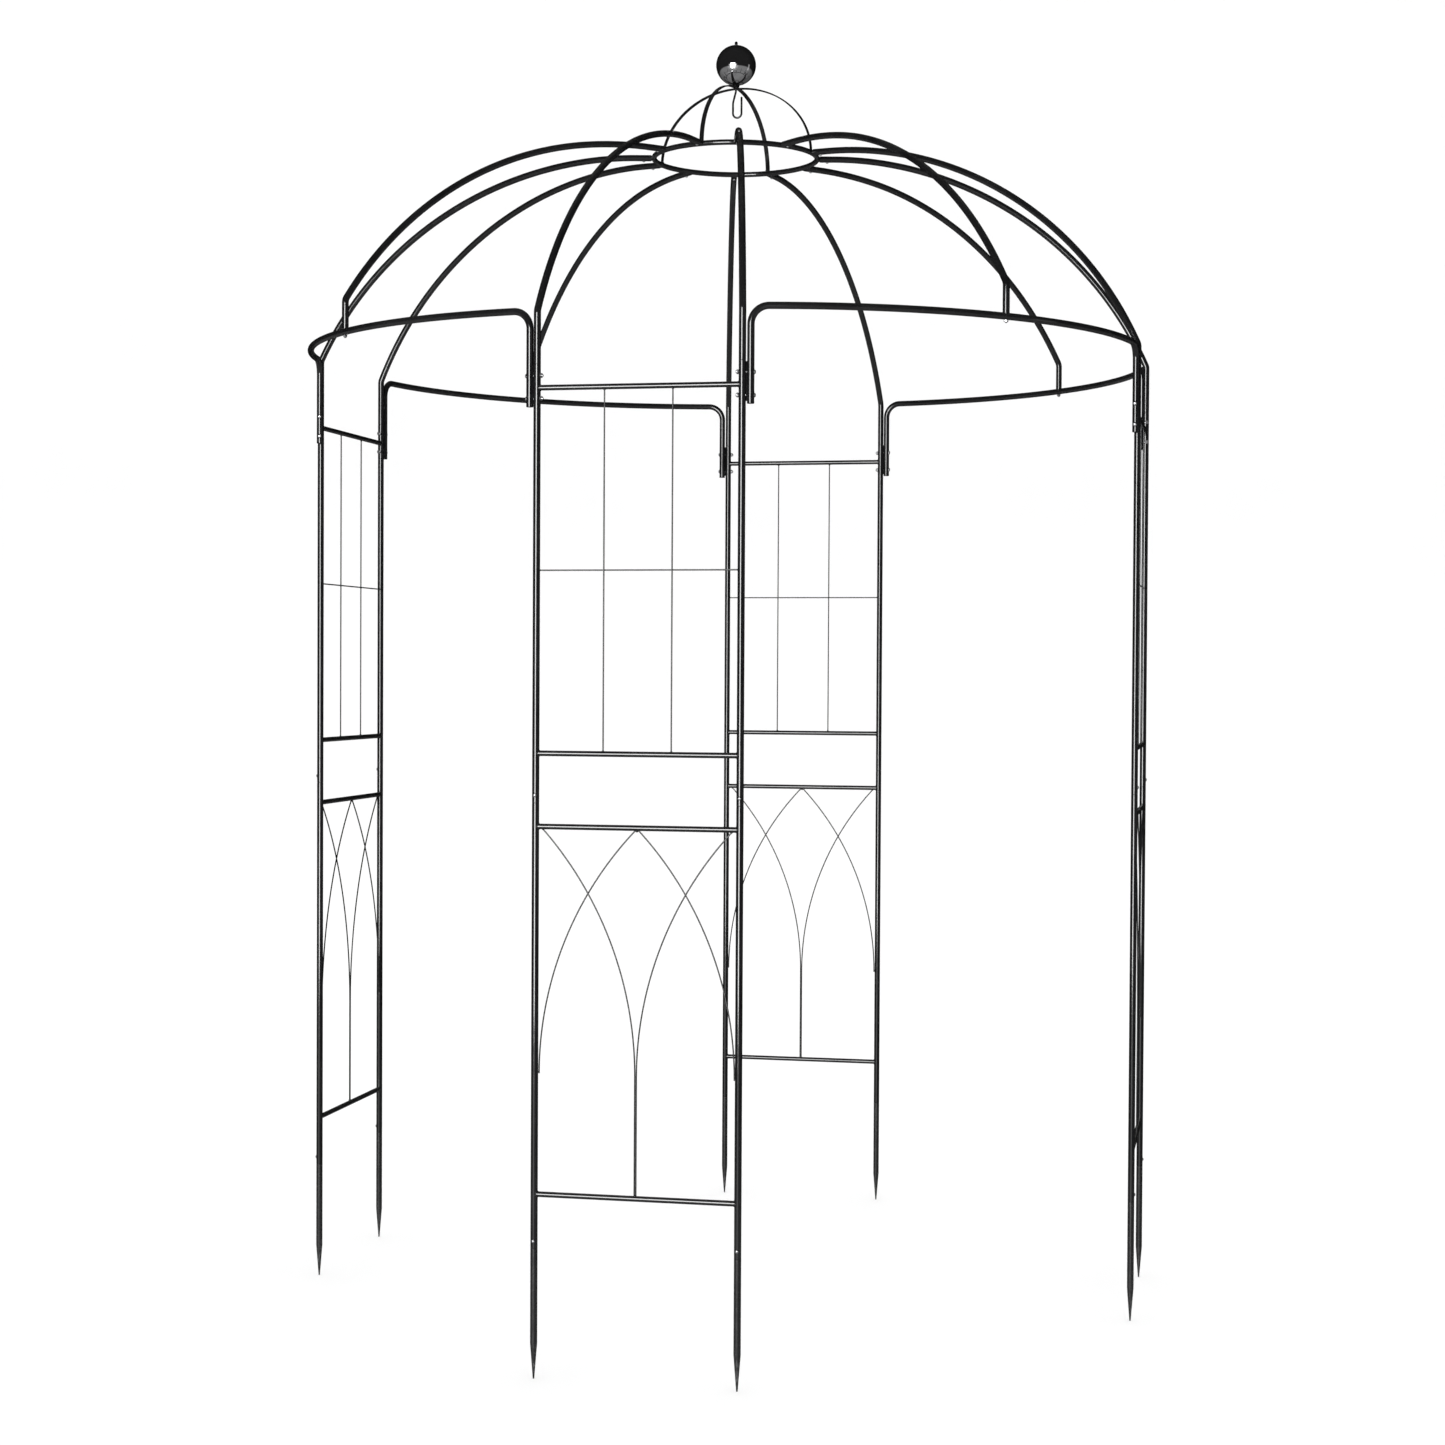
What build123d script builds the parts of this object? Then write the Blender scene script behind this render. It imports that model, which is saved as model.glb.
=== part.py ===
from build123d import *
import math
import os

# Domed round garden pavilion of black steel tube, in millimetres.
# Four trellis panels stand on the +X, +Y, -X and -Y sides of a circle, with four
# doorways between them.  Eight ribs and four middle ribs meet in a crown ring, which
# carries two crossed hoops, a mirror ball and a hanging hook.
# Origin: on the central axis, level with the tips of the ground stakes.  +Z is up.

os.makedirs("parts", exist_ok=True)

# ---------------------------------------------------------------- driving dimensions
TUBE_R = 7.0  # main tube, 14 mm outside
BORE_R = 5.8  # 1.2 mm wall
PLUG_R = 5.7  # reduced tube end that enters the next tube
PLUG_BORE_R = 4.5
PLUG_LENGTH = 32.0
RUNG_R = 5.5
RUNG_BORE_R = 4.5
WIRE_R = 1.5
HOOK_WIRE_R = 2.25
CLEARANCE = 0.05  # between two pieces that touch
JOINT_GAP = 0.1  # between two butted tube ends
LIP = 0.4  # softened edge of a cut tube end

PANEL_HALF = 202.0  # panel centre to post centre
PANEL_OFFSET = 912.0  # central axis to the plane of a panel

STAKE_TIP_R = 1.5
STAKE_TAPER_TOP = 69.0
STAKE_SEAM = 255.0
MIDDLE_SEAM = 1121.5
RIB_SEAM = 1969.0
SCREW_ABOVE_SEAM = 15.0

BOTTOM_RUNG_Z = 360.7
WIRE_BEND_Z = 596.0  # where the curved window wires turn vertical
THIRD_RUNG_Z = 1076.0
SECOND_RUNG_Z = 1217.8
CROSS_WIRE_Z = 1571.7
TOP_RUNG_Z = 1923.8

ARCH_Z = 2073.0
ARCH_BULGE_R = 960.0  # central axis to the middle of a door arch
ARCH_BEND_R = 35.0
LEG_END_Z = 1887.0
LEG_GAP = 2.0  # between a post and the arch leg beside it
LEG_BOLT_HEIGHTS = (1903.0, 1947.0)
SPACER_BOTTOM_Z = 1892.0
SPACER_TOP_Z = 1967.0
SPACER_WIDTH = 9.0

KINK_Z = 2073.0  # where a post rib leaves the vertical
KINK_ANGLE = 24.6  # degrees it leans in there
MIDDLE_KINK_Z = 2139.0
MIDDLE_KINK_ANGLE = 32.1
KINK_BEND_R = 22.0
CROWN_TURN = 9.7  # degrees turned by the flatter arc near the crown

CROWN_Z = 2536.0
CROWN_R = 184.0
CROWN_TUBE_R = 6.0
SPIGOT_LENGTH = 34.0

HOOP_WIDTH = 10.0
HOOP_THICKNESS = 3.0
HOOP_APEX_Z = (2692.9, 2696.0)  # middle of each flat bar at the hub
HOOP_ANGLES = (-12.5, 77.5)  # the direction of each hoop's plane

BALL_R = 45.0
BALL_WALL = 0.8
BALL_CENTRE_Z = 2746.0
BALL_BOTTOM_HOLE_R = 6.0
BALL_TOP_HOLE_R = 2.6
KNOB_TOP_Z = 2800.0

HOOK_BOTTOM_Z = 2626.0
HOOK_BOWL_R = 9.8
HOOK_SHANK_X = -6.6
HOOK_TIP_Z = 2675.0
SWIVEL_HOLE_R = 2.30

BOLT_R = 2.5
LEG_BOLT_LENGTH = 36.0
NUT_ACROSS_FLATS = 8.0
NUT_HEIGHT = 4.0
WIRE_MEETING = 2.3  # from the panel's middle to where a post wire meets the third rung

# ---------------------------------------------------------------- derived dimensions
POST_CIRCLE_R = math.hypot(PANEL_HALF, PANEL_OFFSET)
RIB_END_R = CROWN_R + CROWN_TUBE_R + JOINT_GAP
RIB_STRAIGHT_R = RIB_END_R + SPIGOT_LENGTH + 2  # a rib is straight inside this radius
LEG_STEP = 2 * TUBE_R + LEG_GAP
RUNG_SPAN = 2 * PANEL_HALF

# name of each panel and the turn about Z that brings the -Y panel onto it
PANELS = {"front": 0, "right": 90, "back": 180, "left": 270}
# name of each doorway and the direction of its middle
DOORWAYS = {"front_right": -45, "back_right": 45, "back_left": 135, "front_left": 225}
SIDES = {"l": -1, "r": 1}


def turned(x, y, z, angle):
    """A point, turned about the central axis."""
    c = math.cos(math.radians(angle))
    s = math.sin(math.radians(angle))
    return Vector(x * c - y * s, x * s + y * c, z)


def post_point(angle, side, z):
    return turned(side * PANEL_HALF, -PANEL_OFFSET, z, angle)


def post_outward(angle, side):
    """Unit vector from the central axis towards a post."""
    return post_point(angle, side, 0).normalized()


def post_to_leg(angle, side):
    """Unit vector from a post towards the arch leg beside it."""
    outward = post_outward(angle, side)
    return Vector(-side * outward.Y, side * outward.X, 0)


def panel_normal(angle):
    return turned(0, -1, 0, angle)


def all_posts():
    """Name, panel turn and side of each of the eight posts."""
    return [
        (f"{panel}_{hand}", angle, side)
        for panel, angle in PANELS.items()
        for hand, side in SIDES.items()
    ]


def export(part, name):
    part.label = name
    export_step(part, f"parts/{name}.step")


# ---------------------------------------------------------------- shared features
def revolve_upright(centre, outline):
    """Revolves an (r, z) outline about the vertical line through centre."""
    plane = Plane(origin=(centre.X, centre.Y, 0), x_dir=(1, 0, 0), z_dir=(0, -1, 0))
    with BuildSketch(plane) as profile:
        with BuildLine():
            Polyline(*outline, close=True)
        make_face()
    revolve(profile.sketch, axis=Axis((centre.X, centre.Y, 0), (0, 0, 1)))


def post_tube(centre, bottom, seam):
    """Tube from bottom to seam, with a reduced end that runs on into the next tube."""
    plug_top = seam + PLUG_LENGTH
    outline = [
        (BORE_R, bottom),
        (TUBE_R - LIP, bottom),
        (TUBE_R, bottom + LIP),
        (TUBE_R, seam - JOINT_GAP - LIP),
        (TUBE_R - LIP, seam - JOINT_GAP),
        (PLUG_R, seam - JOINT_GAP),
        (PLUG_R, plug_top - 1),
        (PLUG_R - 0.6, plug_top),
        (PLUG_BORE_R, plug_top),
        (PLUG_BORE_R, seam - 4),
        (BORE_R, seam - 8),
    ]
    revolve_upright(centre, outline)


def plain_tube(centre, bottom, top):
    outline = [
        (BORE_R, bottom),
        (TUBE_R - LIP, bottom),
        (TUBE_R, bottom + LIP),
        (TUBE_R, top - LIP),
        (TUBE_R - LIP, top),
        (BORE_R, top),
    ]
    revolve_upright(centre, outline)


def drill(point, direction, radius, length):
    """Cuts a round hole from point along direction."""
    with BuildSketch(Plane(origin=point, z_dir=direction)) as hole:
        Circle(radius)
    extrude(hole.sketch, amount=length, mode=Mode.SUBTRACT)


def screw_hole(angle, side, seam):
    """Clears a joint screw through the near wall of both tubes."""
    start = post_point(angle, side, seam + SCREW_ABOVE_SEAM) + panel_normal(angle) * (TUBE_R + 1)
    drill(start, -panel_normal(angle), 1.9, TUBE_R - 1)


def leg_bolt_holes(angle, side):
    """Clears both leg bolts through a post and the leg beside it."""
    along = post_to_leg(angle, side)
    for z in LEG_BOLT_HEIGHTS:
        start = post_point(angle, side, z) - along * (TUBE_R + 2)
        drill(start, along, 2.65, LEG_STEP + 2 * TUBE_R + 4)


def rung(angle, z):
    """Hollow rung between the two posts of a panel, its ends shaped to fit them."""
    start = post_point(angle, -1, z)
    with BuildSketch(Plane(origin=start, z_dir=turned(1, 0, 0, angle))) as section:
        Circle(RUNG_R)
        Circle(RUNG_BORE_R, mode=Mode.SUBTRACT)
    extrude(section.sketch, amount=RUNG_SPAN)
    for side in SIDES.values():
        with Locations(Plane(post_point(angle, side, z), z_dir=(0, 0, 1))):
            Cylinder(TUBE_R + CLEARANCE, 4 * RUNG_R, mode=Mode.SUBTRACT)


def window_plane(angle, depth):
    """Plane of a panel, with x across it, y up and depth moving out of the pavilion."""
    origin = turned(0, -PANEL_OFFSET - depth, 0, angle)
    return Plane(origin=origin, x_dir=turned(1, 0, 0, angle), z_dir=turned(0, -1, 0, angle))


def sweep_round(path, radius, bore=0):
    """Sweeps a round bar, or a tube if bore is given, along path."""
    line = path.line
    with BuildSketch(Plane(origin=line @ 0, z_dir=line % 0)) as section:
        Circle(radius)
        if bore:
            Circle(bore, mode=Mode.SUBTRACT)
    sweep(section.sketch, path=line)


def round_head(plane, head_r, head_height, shank_r, shank_length):
    """Domed head standing on plane, with its shank running back behind it."""
    rim = 0.3 * head_height
    dome_r = (head_r**2 + (head_height - rim) ** 2) / (2 * (head_height - rim))
    half_angle = math.asin(head_r / dome_r) / 2
    dome_centre = head_height - dome_r
    halfway = (dome_r * math.sin(half_angle), dome_centre + dome_r * math.cos(half_angle))
    profile = Plane(origin=plane.origin, x_dir=plane.x_dir, z_dir=-plane.y_dir)
    with BuildSketch(profile) as outline:
        with BuildLine():
            Polyline(
                (0, head_height),
                (0, -shank_length),
                (shank_r, -shank_length),
                (shank_r, 0),
                (head_r, 0),
                (head_r, rim),
            )
            ThreePointArc((head_r, rim), halfway, (0, head_height))
        make_face()
    revolve(outline.sketch, axis=Axis(plane.origin, plane.z_dir))


def hex_nut(plane):
    """M5 nut standing on plane."""
    with BuildSketch(plane) as hexagon:
        RegularPolygon(NUT_ACROSS_FLATS / 2, 6, major_radius=False)
        Circle(BOLT_R + CLEARANCE, mode=Mode.SUBTRACT)
    extrude(hexagon.sketch, amount=NUT_HEIGHT)


def facing(point, direction):
    return Plane(origin=point, z_dir=direction)


# ---------------------------------------------------------------- posts and panels
def ground_stake(angle, side):
    foot = post_point(angle, side, 0)
    plug_top = STAKE_SEAM + PLUG_LENGTH
    with BuildPart() as stake:
        outline = [
            (0, 0),
            (STAKE_TIP_R, 0),
            (TUBE_R, STAKE_TAPER_TOP),
            (TUBE_R, STAKE_SEAM - JOINT_GAP - LIP),
            (TUBE_R - LIP, STAKE_SEAM - JOINT_GAP),
            (PLUG_R, STAKE_SEAM - JOINT_GAP),
            (PLUG_R, plug_top - 1),
            (PLUG_R - 0.6, plug_top),
            (PLUG_BORE_R, plug_top),
            (PLUG_BORE_R, STAKE_SEAM - 4),
            (BORE_R, STAKE_SEAM - 8),
            (BORE_R, STAKE_TAPER_TOP),
            (0, STAKE_TAPER_TOP - 12),
        ]
        revolve_upright(foot, outline)
        screw_hole(angle, side, STAKE_SEAM)
    return stake.part


def lower_trellis_frame(angle):
    with BuildPart() as ladder:
        rung(angle, BOTTOM_RUNG_Z)
        rung(angle, THIRD_RUNG_Z)
        for side in SIDES.values():
            post_tube(post_point(angle, side, 0), STAKE_SEAM, MIDDLE_SEAM)
            screw_hole(angle, side, STAKE_SEAM)
            screw_hole(angle, side, MIDDLE_SEAM)
    return ladder.part


def upper_trellis_frame(angle):
    with BuildPart() as ladder:
        rung(angle, SECOND_RUNG_Z)
        rung(angle, TOP_RUNG_Z)
        for side in SIDES.values():
            plain_tube(post_point(angle, side, 0), MIDDLE_SEAM, RIB_SEAM)
            screw_hole(angle, side, MIDDLE_SEAM)
            leg_bolt_holes(angle, side)
    return ladder.part


def trim_at_rung(angle, z):
    with Locations(facing(turned(0, -PANEL_OFFSET, z, angle), turned(1, 0, 0, angle))):
        Cylinder(RUNG_R + CLEARANCE, RUNG_SPAN, mode=Mode.SUBTRACT)


def trim_at_posts(angle, z):
    for side in SIDES.values():
        with Locations(Plane(post_point(angle, side, z))):
            Cylinder(TUBE_R + CLEARANCE, 4 * RUNG_R, mode=Mode.SUBTRACT)


def lower_trellis_wires(angle):
    """Two wires part from the middle and two start at the posts, so that they cross."""
    beside = WIRE_R + CLEARANCE
    at_post = PANEL_HALF - TUBE_R - beside
    top = THIRD_RUNG_Z - RUNG_R + WIRE_R
    with BuildPart() as wires:
        for side in SIDES.values():
            with BuildLine(window_plane(angle, beside)) as middle_wire:
                Line((side * beside, BOTTOM_RUNG_Z), (side * beside, WIRE_BEND_Z))
                TangentArc(
                    (side * beside, WIRE_BEND_Z),
                    (side * (at_post - 6), top),
                    tangent=Vector(0, 0, 1),
                )
            sweep_round(middle_wire, WIRE_R)
        for side in SIDES.values():
            with BuildLine(window_plane(angle, -beside)) as post_wire:
                TangentArc(
                    (side * at_post, WIRE_BEND_Z),
                    (side * WIRE_MEETING, top),
                    tangent=Vector(0, 0, 1),
                )
            sweep_round(post_wire, WIRE_R)
        trim_at_rung(angle, BOTTOM_RUNG_Z)
        trim_at_rung(angle, THIRD_RUNG_Z)
    return wires.part


def upper_trellis_wires(angle):
    beside = WIRE_R + CLEARANCE
    third = PANEL_HALF / 3
    with BuildPart() as wires:
        for side in SIDES.values():
            with BuildLine(window_plane(angle, beside)) as upright:
                Line((side * third, SECOND_RUNG_Z), (side * third, TOP_RUNG_Z))
            sweep_round(upright, WIRE_R)
        with BuildLine(window_plane(angle, -beside)) as cross:
            Line((-PANEL_HALF, CROSS_WIRE_Z), (PANEL_HALF, CROSS_WIRE_Z))
        sweep_round(cross, WIRE_R)
        trim_at_rung(angle, SECOND_RUNG_Z)
        trim_at_rung(angle, TOP_RUNG_Z)
        trim_at_posts(angle, CROSS_WIRE_Z)
    return wires.part


# ---------------------------------------------------------------- door arches
def door_arch(middle):
    """Tube across a doorway that bows outward, with both ends bent down into legs."""
    half_turn = math.degrees(math.atan2(PANEL_OFFSET, PANEL_HALF)) - 45
    leg_turn = half_turn - math.degrees(math.asin(LEG_STEP / POST_CIRCLE_R))
    leg_r = math.hypot(POST_CIRCLE_R, LEG_STEP)
    reach = leg_r * math.cos(math.radians(leg_turn))
    spread = leg_r * math.sin(math.radians(leg_turn))
    # centre of the bow, on the doorway's middle line, so that each bend runs into it
    square = reach**2 + spread**2 - ARCH_BULGE_R**2 - ARCH_BEND_R**2
    bow_centre = square / (2 * (reach - ARCH_BULGE_R))
    bow_r = ARCH_BULGE_R - bow_centre
    bend_start = math.atan2(spread, reach - bow_centre)
    bow_half = math.degrees(bend_start - math.atan2(ARCH_BEND_R, bow_r))
    centre = turned(bow_centre, 0, 0, middle)
    ends = [centre + turned(bow_r, 0, ARCH_Z, middle + sign * bow_half) for sign in (-1, 1)]
    legs = [turned(reach, sign * spread, 0, middle) for sign in (-1, 1)]
    shoulder = Vector(0, 0, ARCH_Z - ARCH_BEND_R)
    foot = Vector(0, 0, LEG_END_Z)
    with BuildPart() as arch:
        with BuildLine() as path:
            Line(legs[0] + foot, legs[0] + shoulder)
            TangentArc(legs[0] + shoulder, ends[0], tangent=Vector(0, 0, 1))
            ThreePointArc(ends[0], turned(ARCH_BULGE_R, 0, ARCH_Z, middle), ends[1])
            TangentArc(legs[1] + shoulder, ends[1], tangent=Vector(0, 0, 1))
            Line(legs[1] + shoulder, legs[1] + foot)
        sweep_round(path, TUBE_R, BORE_R)
        leg_bolt_holes(middle + 45, 1)
        leg_bolt_holes(middle + 135, -1)
        drill(turned(ARCH_BULGE_R, 0, ARCH_Z - 2 * TUBE_R, middle), Vector(0, 0, 1), 2.65, 4 * TUBE_R)
    return arch.part


# ---------------------------------------------------------------- dome ribs
def rib_arcs(start_r, kink_z, kink_angle):
    """Radii of the two arcs that bring a rib from its kink level into the crown ring."""
    lean = math.radians(kink_angle)
    turn = math.radians(CROWN_TURN)
    bend_run = KINK_BEND_R * math.tan(lean / 2)
    inward = start_r - bend_run * math.sin(lean) - RIB_STRAIGHT_R
    upward = CROWN_Z - kink_z - bend_run * math.cos(lean)
    shoulder_in = math.cos(lean) - math.sin(turn)
    shoulder_up = math.cos(turn) - math.sin(lean)
    crown_in = math.sin(turn)
    crown_up = 1 - math.cos(turn)
    scale = shoulder_in * crown_up - crown_in * shoulder_up
    shoulder_r = (inward * crown_up - crown_in * upward) / scale
    crown_r = (shoulder_in * upward - shoulder_up * inward) / scale
    return bend_run, shoulder_r, crown_r


def rib_path(direction, start_r, start_z, kink_z, kink_angle):
    """Centre line of a rib, in the vertical plane through the central axis."""
    bend_run, shoulder_r, crown_r = rib_arcs(start_r, kink_z, kink_angle)
    upright = Plane(origin=(0, 0, 0), x_dir=turned(1, 0, 0, direction), z_dir=turned(0, -1, 0, direction))
    with BuildLine(upright) as path:
        post = Line((start_r, start_z), (start_r, kink_z - bend_run))
        bend = JernArc(post @ 1, (0, 1), KINK_BEND_R, kink_angle)
        lean = math.radians(kink_angle)
        heading = (-math.sin(lean), math.cos(lean))
        turn = 90 - kink_angle - CROWN_TURN
        shoulder = JernArc(bend @ 1, heading, shoulder_r, turn)
        steep = math.radians(CROWN_TURN)
        heading = (-math.cos(steep), math.sin(steep))
        crown = JernArc(shoulder @ 1, heading, crown_r, CROWN_TURN)
        Line(crown @ 1, (RIB_END_R, CROWN_Z))
    return path


def crown_screw_hole(direction):
    start = turned(RIB_END_R + SPIGOT_LENGTH / 2, 0, CROWN_Z - TUBE_R - 1, direction)
    drill(start, Vector(0, 0, 1), 1.9, TUBE_R)


def dome_rib(angle, side):
    outward = post_outward(angle, side)
    direction = math.degrees(math.atan2(outward.Y, outward.X))
    path = rib_path(direction, POST_CIRCLE_R, RIB_SEAM + JOINT_GAP, KINK_Z, KINK_ANGLE)
    with BuildPart() as rib:
        sweep_round(path, TUBE_R, BORE_R)
        foot = rib.faces().sort_by(Axis.Z)[0]
        chamfer(foot.edges().sort_by(SortBy.LENGTH)[-1], LIP)
        outline = [
            (PLUG_BORE_R, RIB_SEAM - PLUG_LENGTH),
            (PLUG_R - 0.6, RIB_SEAM - PLUG_LENGTH),
            (PLUG_R, RIB_SEAM - PLUG_LENGTH + 1),
            (PLUG_R, RIB_SEAM + JOINT_GAP),
            (TUBE_R - LIP, RIB_SEAM + JOINT_GAP),
            (TUBE_R - LIP, RIB_SEAM + 4),
            (PLUG_BORE_R, RIB_SEAM + 4),
        ]
        revolve_upright(post_point(angle, side, 0), outline)
        leg_bolt_holes(angle, side)
        crown_screw_hole(direction)
    return rib.part


def middle_rib(direction):
    path = rib_path(direction, ARCH_BULGE_R, ARCH_Z, MIDDLE_KINK_Z, MIDDLE_KINK_ANGLE)
    with BuildPart() as rib:
        sweep_round(path, TUBE_R, BORE_R)
        with Locations(facing(turned(ARCH_BULGE_R, 0, ARCH_Z, direction), turned(0, 1, 0, direction))):
            Cylinder(TUBE_R + CLEARANCE, 4 * TUBE_R, mode=Mode.SUBTRACT)
        crown_screw_hole(direction)
    return rib.part


# ---------------------------------------------------------------- crown
def rib_directions():
    posts = [post_outward(angle, side) for name, angle, side in all_posts()]
    return [math.degrees(math.atan2(post.Y, post.X)) for post in posts] + list(DOORWAYS.values())


def crown_ring():
    with BuildPart() as ring:
        with BuildSketch(Plane.XZ):
            with Locations((CROWN_R, CROWN_Z)):
                Circle(CROWN_TUBE_R)
        revolve(axis=Axis.Z)
        for direction in rib_directions():
            with BuildSketch(facing(turned(CROWN_R, 0, CROWN_Z, direction), turned(1, 0, 0, direction))):
                Circle(PLUG_R)
            extrude(amount=CROWN_TUBE_R + JOINT_GAP + SPIGOT_LENGTH)
            crown_screw_hole(direction)
    return ring.part


def crown_hoop(direction, apex_z):
    """Flat bar bent to half an ellipse that stands on the crown ring."""
    upright = Plane(
        origin=(0, 0, CROWN_Z), x_dir=turned(1, 0, 0, direction), z_dir=turned(0, -1, 0, direction)
    )
    rise = apex_z - CROWN_Z
    half = HOOP_THICKNESS / 2
    foot = CROWN_TUBE_R + CLEARANCE
    with BuildPart() as hoop:
        with BuildSketch(upright):
            Ellipse(CROWN_R + half, rise + half)
            Ellipse(CROWN_R - half, rise - half, mode=Mode.SUBTRACT)
            with Locations((0, foot)):
                Rectangle(
                    3 * CROWN_R, 2 * rise, align=(Align.CENTER, Align.MIN), mode=Mode.INTERSECT
                )
        extrude(amount=HOOP_WIDTH / 2, both=True)
        with Locations((0, 0, apex_z)):
            Cylinder(SWIVEL_HOLE_R, 4 * HOOP_THICKNESS, mode=Mode.SUBTRACT)
    return hoop.part


# ---------------------------------------------------------------- build and export
for post_name, panel_angle, post_side in all_posts():
    export(ground_stake(panel_angle, post_side), f"ground_stake_{post_name}")
    export(dome_rib(panel_angle, post_side), f"dome_rib_{post_name}")

for panel_name, panel_angle in PANELS.items():
    export(lower_trellis_frame(panel_angle), f"lower_trellis_frame_{panel_name}")
    export(lower_trellis_wires(panel_angle), f"lower_trellis_wires_{panel_name}")
    export(upper_trellis_frame(panel_angle), f"upper_trellis_frame_{panel_name}")
    export(upper_trellis_wires(panel_angle), f"upper_trellis_wires_{panel_name}")

for doorway_name, doorway_angle in DOORWAYS.items():
    export(door_arch(doorway_angle), f"door_arch_{doorway_name}")
    export(middle_rib(doorway_angle), f"middle_rib_{doorway_name}")

export(crown_ring(), "crown_ring")
for number, (hoop_angle, apex) in enumerate(zip(HOOP_ANGLES, HOOP_APEX_Z), start=1):
    export(crown_hoop(hoop_angle, apex), f"crown_hoop_{number}")

# joint screws, one above each seam, facing out of the panel
for seam_name, seam_z in {"stake": STAKE_SEAM, "middle": MIDDLE_SEAM}.items():
    with BuildPart() as seam_screws:
        for post_name, panel_angle, post_side in all_posts():
            normal = panel_normal(panel_angle)
            seat = post_point(panel_angle, post_side, seam_z + SCREW_ABOVE_SEAM)
            round_head(facing(seat + normal * (TUBE_R + CLEARANCE), normal), 3.5, 2.2, 1.7, 5.2)
    export(seam_screws.part, f"{seam_name}_joint_screws")

# each arch leg is held beside its post by two bolts, through a spacer plate
with BuildPart() as leg_bolts:
    for post_name, panel_angle, post_side in all_posts():
        across = post_to_leg(panel_angle, post_side)
        for bolt_z in LEG_BOLT_HEIGHTS:
            seat = post_point(panel_angle, post_side, bolt_z) + across * (LEG_STEP + TUBE_R + CLEARANCE)
            round_head(facing(seat, across), 4.5, 3.0, BOLT_R, LEG_BOLT_LENGTH)
export(leg_bolts.part, "arch_leg_bolts")

with BuildPart() as leg_nuts:
    for post_name, panel_angle, post_side in all_posts():
        across = post_to_leg(panel_angle, post_side)
        for bolt_z in LEG_BOLT_HEIGHTS:
            seat = post_point(panel_angle, post_side, bolt_z) - across * (TUBE_R + CLEARANCE)
            hex_nut(facing(seat, -across))
export(leg_nuts.part, "arch_leg_nuts")

with BuildPart() as leg_spacers:
    for post_name, panel_angle, post_side in all_posts():
        across = post_to_leg(panel_angle, post_side)
        middle_z = (SPACER_BOTTOM_Z + SPACER_TOP_Z) / 2
        seat = post_point(panel_angle, post_side, middle_z) + across * (LEG_STEP / 2)
        outward = post_outward(panel_angle, post_side)
        with BuildSketch(Plane(origin=seat, x_dir=outward, z_dir=across)):
            Rectangle(SPACER_WIDTH, SPACER_TOP_Z - SPACER_BOTTOM_Z)
        extrude(amount=LEG_GAP / 2 - CLEARANCE, both=True)
        leg_bolt_holes(panel_angle, post_side)
export(leg_spacers.part, "arch_leg_spacers")

# a stud in the foot of each middle rib passes down through the arch to a nut
arch_top = ARCH_Z + TUBE_R
arch_underside = ARCH_Z - TUBE_R
with BuildPart() as studs:
    for doorway_angle in DOORWAYS.values():
        centre = turned(ARCH_BULGE_R, 0, 0, doorway_angle)
        stud_end = arch_underside - NUT_HEIGHT - 2
        outline = [
            (0, stud_end),
            (BOLT_R, stud_end),
            (BOLT_R, arch_top + 1),
            (PLUG_R, arch_top + 1),
            (PLUG_R, arch_top + 16),
            (0, arch_top + 16),
        ]
        revolve_upright(centre, outline)
export(studs.part, "middle_rib_studs")

with BuildPart() as stud_nuts:
    for doorway_angle in DOORWAYS.values():
        seat = turned(ARCH_BULGE_R, 0, arch_underside - CLEARANCE, doorway_angle)
        hex_nut(facing(seat, Vector(0, 0, -1)))
export(stud_nuts.part, "middle_rib_nuts")

# one screw from below locks each rib on its spigot
with BuildPart() as crown_screws:
    for rib_angle in rib_directions():
        seat = turned(RIB_END_R + SPIGOT_LENGTH / 2, 0, CROWN_Z - TUBE_R - CLEARANCE, rib_angle)
        round_head(facing(seat, Vector(0, 0, -1)), 3.5, 2.2, 1.7, 5.2)
export(crown_screws.part, "crown_screws")

# ---------------------------------------------------------------- hub, ball and hook
hub_top = HOOP_APEX_Z[1] + HOOP_THICKNESS / 2
washer_top = hub_top + 1.5
ball_bottom = BALL_CENTRE_Z - BALL_R
ball_top = BALL_CENTRE_Z + BALL_R

with BuildPart() as hub_washer:
    outline = [
        (SWIVEL_HOLE_R, hub_top + JOINT_GAP),
        (8, hub_top + JOINT_GAP),
        (8, washer_top - 0.4),
        (7.6, washer_top),
        (SWIVEL_HOLE_R, washer_top),
    ]
    revolve_upright(Vector(0, 0, 0), outline)
export(hub_washer.part, "hub_washer")

# threaded collar that joins the hook's shank to the ball
with BuildPart() as ball_collar:
    outline = [
        (SWIVEL_HOLE_R, washer_top + 0.4),
        (8, washer_top + 0.4),
        (8, ball_bottom + 0.2),
        (BALL_BOTTOM_HOLE_R - 0.1, ball_bottom + 0.2),
        (BALL_BOTTOM_HOLE_R - 0.1, ball_bottom + 10),
        (SWIVEL_HOLE_R, ball_bottom + 10),
    ]
    revolve_upright(Vector(0, 0, 0), outline)
export(ball_collar.part, "ball_collar")


def sphere_height(sphere_r, at_r):
    return math.sqrt(sphere_r**2 - at_r**2)


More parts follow.
